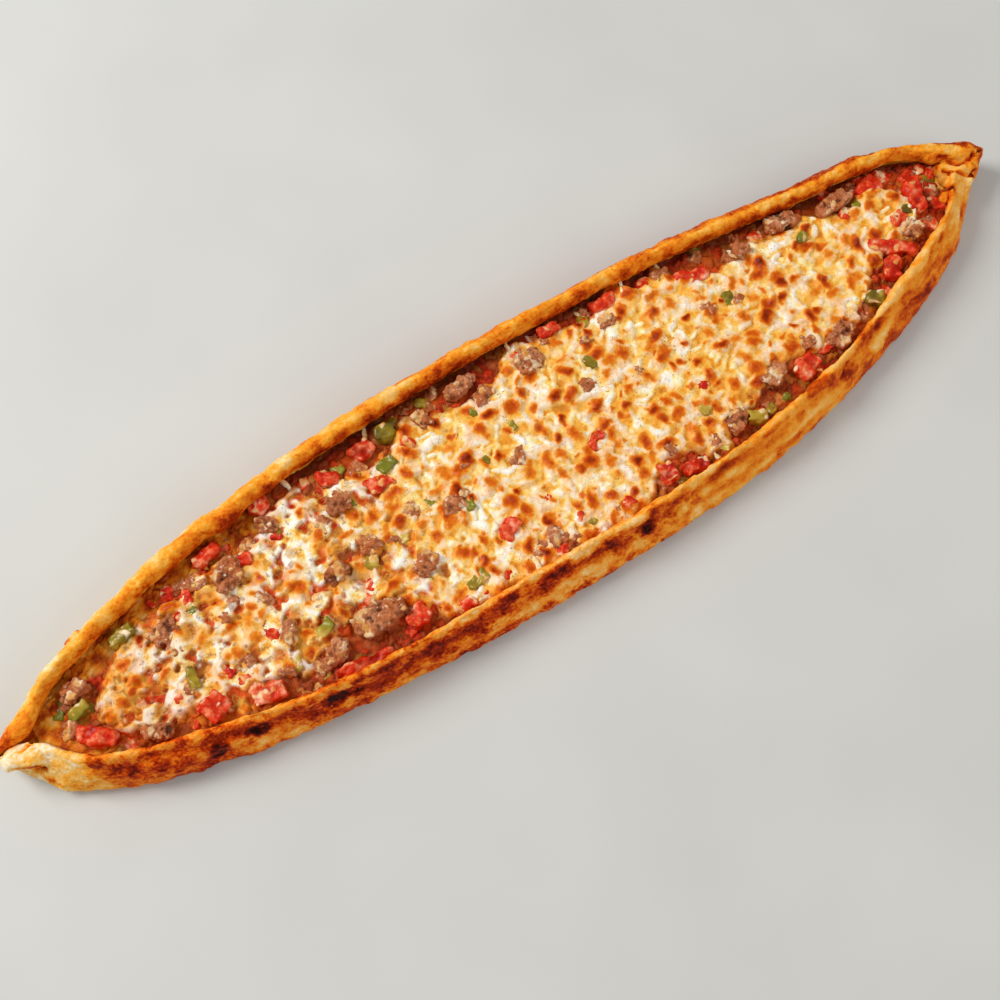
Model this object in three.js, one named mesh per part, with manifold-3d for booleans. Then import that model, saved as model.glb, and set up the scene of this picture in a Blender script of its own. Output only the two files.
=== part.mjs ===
// A Turkish pide: a long boat of flatbread dough with rolled rims and pinched tips, filled with a
// saucy bed of diced topping, a melted cheese sheet, and diced meat, tomato and green pepper.
// Millimetres. X runs from tip to tip, Y across, Z up. The origin is on the plane that the bread
// rests on, under the middle of its length and width.
import * as THREE from 'three';
import { ConvexGeometry } from 'three/addons/geometries/ConvexGeometry.js';
import { ImprovedNoise } from 'three/addons/math/ImprovedNoise.js';
import { mergeVertices } from 'three/addons/utils/BufferGeometryUtils.js';
import Module from 'manifold-3d';

const wasm = await Module();
wasm.setup();

// ---------------------------------------------------------------- driving dimensions

const LENGTH = 522;            // tip to tip
const NEAR_RIM = 22;           // height of the rolled rim on the -Y side
const FAR_RIM = 24;            // height of the fuller rim on the +Y side
const FLOOR = 5.5;             // thickness of the dough under the filling
const FLOOR_RISE = 5;          // how far the trough's floor climbs towards each end
const TIP_LIFT = { left: 4, right: 7 };        // how far each tip curls up off the table
const TIP_DROP = { left: 5, right: 5 };        // how much lower the rim is at each tip
const TIP_ROUND = 7;           // length over which each tip rounds off
const GAP = 0.35;              // clearance between pieces that touch
const CRUST_STATIONS = 100;
const FILLING_STATIONS = 80;
const CHEESE_STATIONS = 88;
const CHEESE_COLUMNS = 11;
const SEAM_DEPTH = 2.5;        // of the seam between the two rims, past the trough
const FOLD = { at: -131, depth: 2.6, half: 7 };   // where the far rim bulges over the filling
const TROUGH = { left: -242, right: 236 };     // where the two rims meet over the trough
const TIP_START = 228;         // distance from the middle at which the tips begin to rise
const FLOOR_CLIMB = { start: 196, end: 232 };  // where the trough's floor climbs, from the middle

const FILLING_TOP = 12.6;      // level of the bed under the cheese
const FILLING_ENDS = { left: -232, right: 231 };
const FILLING_BUMP = 1.9;      // diced pieces just under the sauce, in the bare margins
const CHEESE_ENDS = { left: -216, right: 216 };
const CHEESE_THICK = 3.4;
const CHEESE_WAVE = 1.2;       // swells where the cheese runs over hidden pieces
const CHEESE_MARGIN = 3;       // least strip of bare filling beside the rim
const CHEESE_RAGGED = 1.6;     // how far the cheese's edge wanders
const CHEESE_EDGE = 1.3;       // thickness of the cheese at its edge
const CHEESE_END = { length: 20, blunt: 0.12 };   // how its two ends round off
const FILLING_END = { length: 14, blunt: 0.2 };   // how the bed's two ends round off
const BED_CLEAR = { near: 0.6, far: 1 };          // from the bed to the wall of each rim
const BED_OVERLAP = 1.2;       // how far under the cheese's edge the bumps of the bed run
const BED_STRIP = 1;           // least width of the bumpy strip along each rim
const BED_MIDDLE = 0.5;        // how far each strip stays from the bed's middle line

// Plan of the boat, from the left tip to the right tip: the outer edge at the base and the inner
// edge of the rolled rim, on the near (-Y) side and on the far (+Y) side.
const PLAN = [
  // x, near base, near inner, far inner, far base
  [-261, 1, 4.2, 5.2, 9],
  [-254, -6.5, 3.4, 5, 13.5],
  [-244, -21, 2, 5.5, 20],
  [-231, -29.3, -13, 15.5, 26.7],
  [-205, -40.5, -25.8, 24.8, 36.8],
  [-182, -46.4, -32.1, 31.4, 43.6],
  [-160, -50.3, -37.8, 36.4, 48.8],
  [-145, -52.4, -41.6, 39, 51.8],
  [-100, -57.4, -46.8, 45, 57.5],
  [-40, -62, -48.2, 48.6, 60.6],
  [30, -63.3, -50, 48.2, 59.4],
  [90, -59.9, -46.5, 45.3, 55.6],
  [128, -53.2, -40.4, 40.8, 52.3],
  [150, -47.5, -34.3, 37.8, 50],
  [178, -39, -24.2, 34.4, 46.4],
  [200, -30.9, -15.5, 32.3, 44.2],
  [225, -18, -3.5, 26.8, 36.2],
  [237, -7.5, 9.5, 18.5, 30.7],
  [249, 3.2, 11.4, 14.2, 21.6],
  [255, 6.2, 11.8, 13.4, 18.6],
  [261, 9.8, 12, 13, 16],
];

// Sections of the two rims: how far across the rim (0 at the outer base, 1 at the inner edge) and
// how high (0 on the table, 1 at the crest).
const NEAR_SECTION = [
  [0.22, 0], [0, 0.13], [0.13, 0.36], [0.36, 0.64], [0.64, 0.87],
  [0.84, 1], [0.97, 0.95], [1, 0.82], [0.94, 0.6],
];
const FAR_SECTION = [
  [0.2, 0], [0, 0.13], [0.08, 0.38], [0.19, 0.64], [0.36, 0.88],
  [0.6, 1], [0.85, 0.96], [1, 0.84], [0.97, 0.7], [0.84, 0.52],
];
const CRUST_RELIEF = 0.9;      // uneven baking of the rolled dough
const LIP = { from: 0.9, relief: 0.35 };       // the inner edge of a rim is more even than its top
const RIM_SWELL = { height: 1.1, length: 31 }; // slow rise and fall of the rims
const LUMP = { across: 11, up: 9 };            // length of the lumps in the dough
const SEAM_SHUT = { start: -8, end: 10 };      // where the trough closes, from its end
const WALL_STEP = 0.4;         // least height of the rims over the trough's floor
const TROUGH_WIDTH = 0.8;      // least width of the trough where it becomes the seam
const TIP_MIDDLE = 9;          // height of the middle of each tip
const TIP_BLUNT = 0.3;         // size of the last section of a tip against a full one

// Bays where the cheese stops short of the rim and the bed shows: place, extra depth, half length.
const NEAR_BAYS = [
  [-185, 5, 20], [-150, 8, 11], [-104, 22, 26], [49, 9, 14], [112, 12, 30], [186, 11, 17],
];
const FAR_BAYS = [
  [-205, 6, 24], [-158, 6, 22], [-126, 7, 12], [-64, 14, 17], [-12, 12, 21],
  [54, 4, 10], [118, 9, 16], [152, 5, 11], [184, 9, 13], [222, 9, 16],
];

// ---------------------------------------------------------------- small tools

const perlin = new ImprovedNoise();
const noise = (x, y, z) => perlin.noise(x + 57.3, y + 11.9, z + 3.7);
const random = (low, high) => low + (high - low) * THREE.MathUtils.seededRandom();
const { clamp, lerp, smoothstep } = THREE.MathUtils;
THREE.MathUtils.seededRandom(20261);

// A smooth curve through one column of the plan, read at any x.
function planCurve(column) {
  const xs = PLAN.map((row) => row[0]);
  const ys = PLAN.map((row) => row[column]);
  const curve = new THREE.CubicInterpolant(xs, ys, 1, new Float64Array(1));
  return (x) => curve.evaluate(clamp(x, xs[0], xs[xs.length - 1]))[0];
}

const nearBase = planCurve(1);
const nearInner = planCurve(2);
const farInnerCurve = planCurve(3);
const farInner = (x) => farInnerCurve(x) - FOLD.depth * Math.exp(-(((x - FOLD.at) / FOLD.half) ** 2));
const farBase = planCurve(4);

// The depth of the bays at x.
function bayDepth(bays, x) {
  return bays.reduce((sum, [at, depth, half]) => sum + depth * Math.exp(-(((x - at) / half) ** 2)), 0);
}

// How wide a round-ended plan still is at x: 1 in the middle, 0 at its ends.
function endRound(x, ends, radius) {
  const fromEnd = Math.min(x - ends.left, ends.right - x);
  const past = clamp(1 - fromEnd / radius, 0, 1);
  return Math.sqrt(1 - past * past);
}

// Stations from one end to the other, closer together towards the ends.
function stations(left, right, count) {
  const middle = (left + right) / 2;
  const half = (right - left) / 2;
  return Array.from({ length: count }, (_, i) => {
    const s = (2 * i) / (count - 1) - 1;
    return middle + half * lerp(s, Math.sin((s * Math.PI) / 2), 0.5);
  });
}

// A closed solid through equal loops of points, with a fan over each end.
function loft(loops) {
  const size = loops[0].length;
  const middles = [loops[0], loops[loops.length - 1]].map((loop) => {
    const sum = loop.reduce((total, point) => total.add(point), new THREE.Vector3());
    return sum.divideScalar(size);
  });
  const positions = [...loops.flat(), ...middles].flatMap((point) => point.toArray());
  const first = loops.length * size;
  const index = [];
  for (let j = 0; j < size; j += 1) {
    const next = (j + 1) % size;
    for (let i = 0; i + 1 < loops.length; i += 1) {
      const a = i * size;
      const b = a + size;
      index.push(a + j, b + j, a + next, b + j, b + next, a + next);
    }
    const last = (loops.length - 1) * size;
    index.push(first, j, next, first + 1, last + next, last + j);
  }
  const geometry = new THREE.BufferGeometry();
  geometry.setAttribute('position', new THREE.Float32BufferAttribute(positions, 3));
  geometry.setIndex(index);
  return geometry;
}

// A geometry as a solid for joining and cutting, and back again.
function toSolid(geometry) {
  const bare = geometry.clone();
  bare.deleteAttribute('normal');
  bare.deleteAttribute('uv');
  const merged = mergeVertices(bare, 1e-4);
  const vertProperties = new Float32Array(merged.attributes.position.array);
  const triVerts = new Uint32Array(merged.index.array);
  return new wasm.Manifold(new wasm.Mesh({ numProp: 3, vertProperties, triVerts }));
}

function toGeometry(solid) {
  const bodies = solid.decompose();
  const largest = bodies.reduce((best, body) => (body.volume() > best.volume() ? body : best));
  const mesh = largest.getMesh();
  const geometry = new THREE.BufferGeometry();
  geometry.setAttribute('position', new THREE.Float32BufferAttribute(mesh.vertProperties, 3));
  geometry.setIndex(Array.from(mesh.triVerts));
  return geometry;
}

const pide = new THREE.Group();
pide.name = 'turkish_pide';

function addMesh(name, geometry, look) {
  geometry.computeVertexNormals();
  const mesh = new THREE.Mesh(geometry, new THREE.MeshStandardMaterial(look));
  mesh.name = name;
  pide.add(mesh);
}

// ---------------------------------------------------------------- crust

// How far the underside is off the table, and how much lower than its full height the rim is.
function tipCurve(x, amount) {
  const side = x < 0 ? amount.left : amount.right;
  return side * smoothstep(Math.abs(x), TIP_START, LENGTH / 2);
}

function rimHeight(x, full, phase) {
  const unevenness = RIM_SWELL.height * noise(x / RIM_SWELL.length, phase, 0);
  return full + unevenness - tipCurve(x, TIP_DROP);
}

// The floor of the trough. Past the trough's ends it becomes a shallow seam between the rims.
function troughFloor(x) {
  const rise = FLOOR_RISE * smoothstep(Math.abs(x), FLOOR_CLIMB.start, FLOOR_CLIMB.end);
  const pastTrough = Math.max(TROUGH.left - x, x - TROUGH.right);
  const shut = smoothstep(pastTrough, SEAM_SHUT.start, SEAM_SHUT.end);
  const seam = NEAR_RIM - tipCurve(x, TIP_DROP) - SEAM_DEPTH;
  return lerp(FLOOR + rise, seam, shut);
}

// One side of the boat at x, as points from the underside up over the rim and down inside it.
function rimPoints(x, side, grow) {
  const section = side < 0 ? NEAR_SECTION : FAR_SECTION;
  const base = side < 0 ? nearBase(x) : farBase(x);
  const inner = (side < 0 ? nearInner(x) : farInner(x)) - side * grow;
  const height = rimHeight(x, side < 0 ? NEAR_RIM : FAR_RIM, side) + grow;
  const lift = tipCurve(x, TIP_LIFT);
  return section.map(([across, up], k) => {
    const free = k > 0 && k < section.length - 1 ? CRUST_RELIEF * smoothstep(up, 0, 0.3) : 0;
    const inward = across > LIP.from ? LIP.relief : 1;
    const y = lerp(base, inner, across) + free * inward * noise(x / LUMP.across, k * 0.55, side * 4);
    const z = lerp(lift, height, up) + free * noise(x / LUMP.up, k * 0.7, side * 9 + 2);
    return new THREE.Vector3(x, y, z);
  });
}

// The whole section of the boat at x, as one loop.
function crustLoop(x, grow) {
  const near = rimPoints(x, -1, grow);
  const far = rimPoints(x, 1, grow).reverse();
  const floor = Math.min(troughFloor(x), near.at(-1).z - WALL_STEP, far[0].z - WALL_STEP);
  const nearFoot = near.at(-1).clone().setZ(floor);
  const farFoot = far[0].clone().setZ(floor);
  nearFoot.y = Math.min(nearFoot.y, farFoot.y - TROUGH_WIDTH);
  const loop = [...near, nearFoot, farFoot, ...far];
  const tips = { left: -LENGTH / 2, right: LENGTH / 2 };
  const scale = Math.max(endRound(x, tips, TIP_ROUND), TIP_BLUNT);
  const middle = new THREE.Vector3(x, (nearBase(x) + farBase(x)) / 2, TIP_MIDDLE);
  middle.z += tipCurve(x, TIP_LIFT) / 2;
  return loop.map((point) => point.lerp(middle, 1 - scale));
}

// A lump of dough pressed over the rim: its two ends, its thickness and how flat it is.
function doughLobe(from, to, radius, flat) {
  const start = new THREE.Vector3(...from);
  const end = new THREE.Vector3(...to);
  const along = new THREE.Vector3().subVectors(end, start);
  const lobe = new THREE.CapsuleGeometry(radius, along.length(), 3, 8, 1);
  const upright = new THREE.Vector3(0, 1, 0);
  const direction = along.clone().normalize();
  lobe.applyQuaternion(new THREE.Quaternion().setFromUnitVectors(upright, direction));
  lobe.scale(1, 1, flat);
  const centre = start.add(end).multiplyScalar(0.5);
  lobe.translate(centre.x, centre.y, centre.z);
  return toSolid(lobe);
}

const DOUGH_LOBES = [
  // the pale knot that shuts the left tip
  { from: [-254, -0.5, 14], to: [-247, -3.5, 15.5], radius: 6, flat: 0.9 },
  // the far rim rolled over the right tip and hooked round its end
  { from: [236, 23, 18], to: [251.4, 15, 16.2], radius: 5.3, flat: 0.9 },
  { from: [251.4, 14.6, 15.6], to: [248.8, 8.8, 14.6], radius: 4.8, flat: 0.9 },
  // the two paler layers of dough under it, and the flap at the end of the near rim
  { from: [236.6, 13.6, 15.4], to: [245, 9.8, 15.2], radius: 4.4, flat: 0.75 },
  { from: [235.6, 9, 14.6], to: [243, 4.5, 14], radius: 4, flat: 0.75 },
  { from: [226, 0.4, 18.6], to: [231.5, 3, 18.4], radius: 2.1, flat: 0.9 },
  // a blister that burst out of the far rim
  { from: [-212.5, 30, 16.5], to: [-209, 31.5, 16.5], radius: 3, flat: 0.9 },
];

function crustSolid(grow) {
  const loops = stations(-LENGTH / 2, LENGTH / 2, CRUST_STATIONS).map((x) => crustLoop(x, grow));
  const boat = toSolid(loft(loops));
  return DOUGH_LOBES.reduce(
    (solid, lobe) => solid.add(doughLobe(lobe.from, lobe.to, lobe.radius + grow, lobe.flat)),
    boat,
  );
}

const crust = crustSolid(0);
addMesh('crust', toGeometry(crust), { color: 0xd8862a, roughness: 0.7, metalness: 0 });

// ---------------------------------------------------------------- cheese and filling

// The two edges of the cheese sheet at x.
function cheeseEdges(x) {
  const near = nearInner(x) + CHEESE_MARGIN + bayDepth(NEAR_BAYS, x) + CHEESE_RAGGED * noise(x / 7, 2, 0);
  const far = farInner(x) - CHEESE_MARGIN - bayDepth(FAR_BAYS, x) + CHEESE_RAGGED * noise(x / 8, 9, 0);
  const round = Math.max(endRound(x, CHEESE_ENDS, CHEESE_END.length), CHEESE_END.blunt);
  const middle = (near + far) / 2;
  return [lerp(middle, near, round), lerp(middle, far, round)];
}

// The height of the cheese: thin at its edges, with swells and blisters.
function cheeseTop(x, y, across) {
  const edge = smoothstep(Math.min(across, 1 - across), 0, 0.2);
  const swell = CHEESE_WAVE * noise(x / 17, y / 15, 1) + 0.6 * noise(x / 7, y / 7, 5);
  return FILLING_TOP + GAP + lerp(CHEESE_EDGE, CHEESE_THICK, edge) + swell * lerp(0.4, 1, edge);
}

function cheeseSolid(grow) {
  const ends = { left: CHEESE_ENDS.left - grow, right: CHEESE_ENDS.right + grow };
  const loops = stations(ends.left, ends.right, CHEESE_STATIONS).map((x) => {
    const [near, far] = cheeseEdges(clamp(x, CHEESE_ENDS.left, CHEESE_ENDS.right));
    const bottom = FILLING_TOP + GAP - 4 * grow;
    const top = Array.from({ length: CHEESE_COLUMNS }, (_, k) => {
      const across = k / (CHEESE_COLUMNS - 1);
      const y = lerp(near - grow, far + grow, across);
      return new THREE.Vector3(x, y, cheeseTop(x, lerp(near, far, across), across) + grow);
    });
    const nearBottom = new THREE.Vector3(x, near - grow, bottom);
    const farBottom = new THREE.Vector3(x, far + grow, bottom);
    return [nearBottom, ...top, farBottom];
  });
  return toSolid(loft(loops));
}

// The bare strip of bed beside the rim, from the rim to the cheese, as a row of places.
const MARGIN_STEPS = [0, 0.4, 0.8, 1];

function fillingHeight(x, y, fromCheese) {
  const bump = 0.5 + 0.5 * Math.sin(x / 2.6 + 2 * noise(x / 9, y / 9, 0)) * Math.cos(y / 2.4 + x / 13);
  return FILLING_TOP - 0.4 + FILLING_BUMP * bump * smoothstep(1 - fromCheese, 0, 0.25);
}

function fillingSolid(grow) {
  const loops = stations(FILLING_ENDS.left, FILLING_ENDS.right, FILLING_STATIONS).map((x) => {
    const rimNear = nearInner(x) + BED_CLEAR.near;
    const rimFar = lerp(farBase(x), farInner(x), FAR_SECTION.at(-1)[0]) - BED_CLEAR.far;
    const round = Math.max(endRound(x, FILLING_ENDS, FILLING_END.length), FILLING_END.blunt);
    const middle = (rimNear + rimFar) / 2;
    const near = lerp(middle, rimNear, round);
    const far = lerp(middle, rimFar, round);
    const [cheeseNear, cheeseFar] = cheeseEdges(clamp(x, CHEESE_ENDS.left, CHEESE_ENDS.right));
    const margin = (from, to) => MARGIN_STEPS.map((step) => {
      const y = lerp(from, to, step);
      return new THREE.Vector3(x, y, fillingHeight(x, y, step) + grow);
    });
    const top = [
      ...margin(near, clamp(cheeseNear - BED_OVERLAP, near + BED_STRIP, middle - BED_MIDDLE)),
      ...margin(far, clamp(cheeseFar + BED_OVERLAP, middle + BED_MIDDLE, far - BED_STRIP)).reverse(),
    ];
    const bottom = troughFloor(x) + GAP;
    return [new THREE.Vector3(x, near, bottom), ...top, new THREE.Vector3(x, far, bottom)];
  });
  return toSolid(loft(loops));
}

addMesh('filling', toGeometry(fillingSolid(0)), { color: 0xc4601f, roughness: 0.45, metalness: 0 });
addMesh('cheese', toGeometry(cheeseSolid(0)), { color: 0xf3d492, roughness: 0.5, metalness: 0 });

// ---------------------------------------------------------------- toppings

// Every topping rests on this: the bed, the cheese and the rims, each larger by the clearance.
const bed = fillingSolid(GAP).add(cheeseSolid(GAP)).add(crustSolid(GAP));

// An irregular cut piece: a block with its corners and faces pushed in and out at random.
const CORNERS = [-1, 1].flatMap((sx) => [-1, 1].flatMap((sy) => [-1, 1].map((sz) => [sx, sy, sz])));
const FACES = [[0, -1, 0], [0, 1, 0], [-1, 0, 0], [1, 0, 0], [0, 0, 1]];
const FACE_BULGE = 0.22;

function choppedPiece(length, width, height, roughness) {
  const half = new THREE.Vector3(length, width, height).divideScalar(2);
  const corner = (signs) => new THREE.Vector3(...signs).multiply(half);
  return [
    ...CORNERS.map((signs) => corner(signs).multiplyScalar(1 - roughness * random(0, 1))),
    ...FACES.map((signs) => corner(signs).multiplyScalar(1 + FACE_BULGE * random(0, 1))),
  ];
}

const placed = [];

// Sets a piece into the bed at (x, y), turned about Z and tipped, with its top at the given level.
function addTopping(name, spec, size, look) {
  const { x, y, turn, tip, top } = spec;
  const points = choppedPiece(size.length, size.width, size.height, size.roughness);
  const turned = new THREE.Euler(THREE.MathUtils.degToRad(tip), 0, THREE.MathUtils.degToRad(turn), 'ZYX');
  const centre = new THREE.Vector3(x, y, top - size.height / 2);
  const shape = (grow) => {
    const hull = points.map((point) => {
      const moved = point.clone().applyEuler(turned);
      return moved.addScaledVector(moved.clone().normalize(), grow).add(centre);
    });
    return toSolid(new ConvexGeometry(hull));
  };
  const distance = (other) => Math.hypot(other.x - x, other.y - y);
  const neighbours = placed.filter((other) => distance(other) < other.reach + size.length);
  let solid = shape(0).subtract(bed);
  for (const other of neighbours) solid = solid.subtract(other.grown);
  placed.push({ x, y, reach: size.length, grown: shape(GAP) });
  addMesh(name, toGeometry(solid), look);
}

// Places: x, y, length, width, turn in degrees. Each kind gives its own thickness and level.
const MEAT = [
  [-221, 12, 11, 9, 20], [-178, 13.5, 17, 11, 10], [-142, 21, 14, 12, 12],
  [-117, 32, 10, 8, -20], [-102, -3.5, 12, 8, 15], [-97, -29, 21, 12, 8], [-120, -33, 12, 8, 30],
  [-86, 23, 12, 9, -15], [-68, -20, 12, 8, 35], [-43, -4, 14, 9, -10], [-35, 37, 7, 9, 0],
  [-12, 42, 15, 7, 12], [-6, 32.5, 11, 9, 25], [-14, -40, 9, 11, 10], [20, 35, 13, 12, -8],
  [61, 33, 10, 6, 0], [83, -37.5, 12, 9, 10], [109, -29, 12, 8, 25],
  [147, -28, 13, 9, 30], [130, 30, 10, 8, 10], [157, 32, 17, 8, -12], [183, 27, 18, 8, 5],
  [207, -4, 10, 8, 40], [-199, -22, 13, 7, -30],
];
const TOMATO = [
  [-221, -10, 16, 7, -35], [-174, -25, 12, 11, 20], [-152, -32.5, 15, 8, -12], [-146, 33.5, 14, 6, 10],
  [-116, 42, 8, 9, 0], [-111, -43.5, 26, 5.5, -9], [-83, -38, 11, 8, 20], [-84, 36, 10, 7, -25],
  [-65, 40, 11, 8, 15], [-66, 22, 12, 7, 0], [-30, -26, 10, 9, 30], [36, 44, 11, 5, 0],
  [64, 42.5, 13, 6, -5], [106, 30, 17, 8, -20], [25, -12, 11, 7, 15], [43, -41, 9, 9, 0],
  [56, -45, 13, 7, -5], [125, -33, 13, 8, 20], [192, -5, 22, 6, -38], [186, -14, 11, 8, 60],
  [202, 25, 13, 11, 20], [218, 11, 18, 8, 70],
];
const PEPPER = [
  [-223, 4, 10, 5, 20], [-193, 22, 12, 5, 10], [-176, -10, 11, 4.5, 80], [-119, -21, 9, 6, 20],
  [-52, 41, 9, 7, -20], [-59, 27.5, 9, 6, 15], [-53, -38, 10, 5.5, 10], [91, -40.5, 9, 6, -30],
  [160, 19, 8, 7, 25], [170, -22, 8, 7, -40],
];

// What the pieces of one kind share: thickness, level of their tops and how far it varies, largest
// tip, how uneven the cut is, and the look.
const KINDS = {
  meat: { height: 8, top: 18.5, spread: 0.9, tip: 14, roughness: 0.34, color: 0x9c5a38, shine: 0.6 },
  tomato: { height: 6, top: 17.2, spread: 0.7, tip: 12, roughness: 0.2, color: 0xcf3b17, shine: 0.35 },
  pepper: { height: 4.4, top: 17.6, spread: 0.6, tip: 18, roughness: 0.16, color: 0x8a7a1c, shine: 0.4 },
};

function addKind(name, places) {
  const kind = KINDS[name];
  places.forEach(([x, y, length, width, turn], i) => {
    const tip = random(-kind.tip, kind.tip);
    const top = kind.top + random(-kind.spread, kind.spread);
    const size = { length, width, height: kind.height, roughness: kind.roughness };
    const look = { color: kind.color, roughness: kind.shine, metalness: 0 };
    addTopping(`${name}_${String(i + 1).padStart(2, '0')}`, { x, y, turn, tip, top }, size, look);
  });
}

addKind('meat', MEAT);
addKind('tomato', TOMATO);
addKind('pepper', PEPPER);

// Stands the pide on the origin, under the middle of its length and width.
const extent = new THREE.Box3().setFromObject(pide);
const middle = extent.getCenter(new THREE.Vector3());
pide.position.set(-middle.x, -middle.y, -extent.min.z);

export default pide;
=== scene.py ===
# %% [markdown]
# # A Turkish pide, dressed for the camera
# A pide is a long boat of flatbread. The baker rolls the two long edges of the dough over the
# filling, pinches the tips shut and bakes it hard in a stone oven. This lesson starts from a plain
# solid model of one and gives it the looks: baked dough, melted cheese with browned blisters, and
# diced meat, tomato and green pepper in a saucy bed. Every length below is worked out from that
# model or is named in millimetres.

# %% Load the solid model
import functools
import math
import random

import bmesh
import bpy
import numpy as np
from mathutils import Matrix, Vector, kdtree, noise


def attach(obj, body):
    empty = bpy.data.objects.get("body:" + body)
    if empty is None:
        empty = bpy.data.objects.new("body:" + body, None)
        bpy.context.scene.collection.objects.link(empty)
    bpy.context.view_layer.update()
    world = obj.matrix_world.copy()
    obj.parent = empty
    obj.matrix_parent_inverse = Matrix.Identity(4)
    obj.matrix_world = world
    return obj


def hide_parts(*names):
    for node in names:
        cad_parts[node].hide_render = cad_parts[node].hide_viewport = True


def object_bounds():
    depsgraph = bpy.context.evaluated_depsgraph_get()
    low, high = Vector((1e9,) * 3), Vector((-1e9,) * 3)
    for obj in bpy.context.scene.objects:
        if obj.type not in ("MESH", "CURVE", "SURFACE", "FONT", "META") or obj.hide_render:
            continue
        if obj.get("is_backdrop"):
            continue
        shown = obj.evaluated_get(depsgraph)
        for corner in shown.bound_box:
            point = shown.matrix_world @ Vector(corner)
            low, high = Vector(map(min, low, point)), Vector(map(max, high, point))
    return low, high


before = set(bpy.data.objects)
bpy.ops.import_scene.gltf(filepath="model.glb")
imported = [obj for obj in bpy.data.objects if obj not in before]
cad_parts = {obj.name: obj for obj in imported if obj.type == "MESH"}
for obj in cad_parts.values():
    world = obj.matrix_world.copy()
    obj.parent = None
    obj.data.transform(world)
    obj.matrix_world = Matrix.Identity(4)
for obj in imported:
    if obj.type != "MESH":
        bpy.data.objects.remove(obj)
CAD_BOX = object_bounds()
MM = 0.001
box_mm = [round(v / MM) for v in CAD_BOX[1] - CAD_BOX[0]]
print("solid model:", len(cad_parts), "nodes,", box_mm, "mm")

# %% [markdown]
# ## Colours and material nodes
# Colours are given as sRGB hex values, but Blender's shaders work in linear light, so one
# function converts them. Another small one adds a node: it applies the node's settings, sets or
# links its inputs and returns the output that the next node wants. Every material below is then a
# short list of its nodes. A noise's scale is worked out from the size of its lumps in millimetres.

# %% Helpers for materials


def srgb(code, alpha=1.0):
    """A hex colour such as 'e8a030' as linear RGBA."""
    channels = [int(code[i:i + 2], 16) / 255 for i in (0, 2, 4)]
    linear = [c / 12.92 if c <= 0.04045 else ((c + 0.055) / 1.055) ** 2.4 for c in channels]
    return (*linear, alpha)


def lumps(size_mm):
    """The scale of a noise whose lumps are about size_mm across."""
    return 1 / (size_mm * MM * 2)


def add_node(tree, kind, *values, inputs=None, output=None, stops=(), between="LINEAR", **settings):
    """Adds a shader node and returns its output.

    values fill the node's inputs in their order, and inputs fill them by name. Each is a number,
    a hex colour or another node's output. stops and between shape a colour ramp.
    """
    node = tree.nodes.new("ShaderNode" + kind)
    for name, value in settings.items():
        setattr(node, name, value)
    if stops:
        node.color_ramp.interpolation = between
        elements = node.color_ramp.elements
        while len(elements) < len(stops):
            elements.new(0.5)
        for element, (place, code) in zip(elements, stops):
            element.position = place
            element.color = srgb(code)
    in_order = zip([socket for socket in node.inputs if socket.enabled], values)
    by_name = [(node.inputs[name], value) for name, value in (inputs or {}).items()]
    for socket, value in (*in_order, *by_name):
        if isinstance(value, bpy.types.NodeSocket):
            tree.links.new(value, socket)
        else:
            socket.default_value = srgb(value) if isinstance(value, str) else value
    outputs = [socket for socket in node.outputs if socket.enabled]
    return node.outputs[output] if output else outputs[0] if outputs else None


def new_material(name):
    """An empty node material, and the function that adds a node to it."""
    material = bpy.data.materials.new(name)
    material.use_nodes = True
    material.node_tree.nodes.clear()
    return material, functools.partial(add_node, material.node_tree)


print("material helpers ready")

# %% [markdown]
# ## Camera, floor and light
# The bread is seen from above and a little from its near side, turned so that it runs from the
# lower left to the upper right. A camera is a place, a direction and a field of view. Those three
# are all that is set here, and the horizon stays level.

# %% Camera
CAMERA_AT = Vector((-130.3, -175.9, 616.0)) * MM
CAMERA_TURN = math.radians(32.38)      # towards +X from +Y
CAMERA_DOWN = math.radians(72.0)       # below the horizon
CAMERA_FIELD = math.radians(38.0)

camera_data = bpy.data.cameras.new("camera")
camera_data.sensor_width = 36.0
camera_data.lens = camera_data.sensor_width / 2 / math.tan(CAMERA_FIELD / 2)
camera_data.clip_start = 0.01
camera = bpy.data.objects.new("camera", camera_data)
looking = Vector((math.sin(CAMERA_TURN) * math.cos(CAMERA_DOWN),
                  math.cos(CAMERA_TURN) * math.cos(CAMERA_DOWN),
                  -math.sin(CAMERA_DOWN)))
camera.location = CAMERA_AT
camera.rotation_euler = looking.to_track_quat("-Z", "Y").to_euler()
bpy.context.scene.collection.objects.link(camera)
bpy.context.scene.camera = camera
print("camera lens", round(camera_data.lens, 1), "mm")

# %% Floor
FLOOR_SIZE_M = 4.0


def as_mesh(form, name):
    """The mesh of a finished bmesh, which is then freed."""
    mesh = bpy.data.meshes.new(name)
    form.to_mesh(mesh)
    form.free()
    return mesh


floor_form = bmesh.new()
bmesh.ops.create_grid(floor_form, x_segments=1, y_segments=1, size=FLOOR_SIZE_M / 2)
floor_mesh = as_mesh(floor_form, "floor")
floor = bpy.data.objects.new("floor", floor_mesh)
bpy.context.scene.collection.objects.link(floor)
floor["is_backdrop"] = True

# Matt paint scatters light evenly, so the board has no shine, only faint clouds from the brush.
painted_board, add = new_material("matt_painted_board")
brushed = add("TexNoise", add("TexCoord", output="Object"), lumps(60.0), 2.0, 0.55)
grey = add("ValToRGB", brushed, stops=[(0.3, "cbccca"), (0.7, "d2d3d1")])
add("OutputMaterial", add("BsdfPrincipled", inputs={"Base Color": grey, "Roughness": 0.7}))
floor_mesh.materials.append(painted_board)
print("floor", FLOOR_SIZE_M, "m wide")

# %% Lights
ROOM_STRENGTH = 0.38


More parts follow.
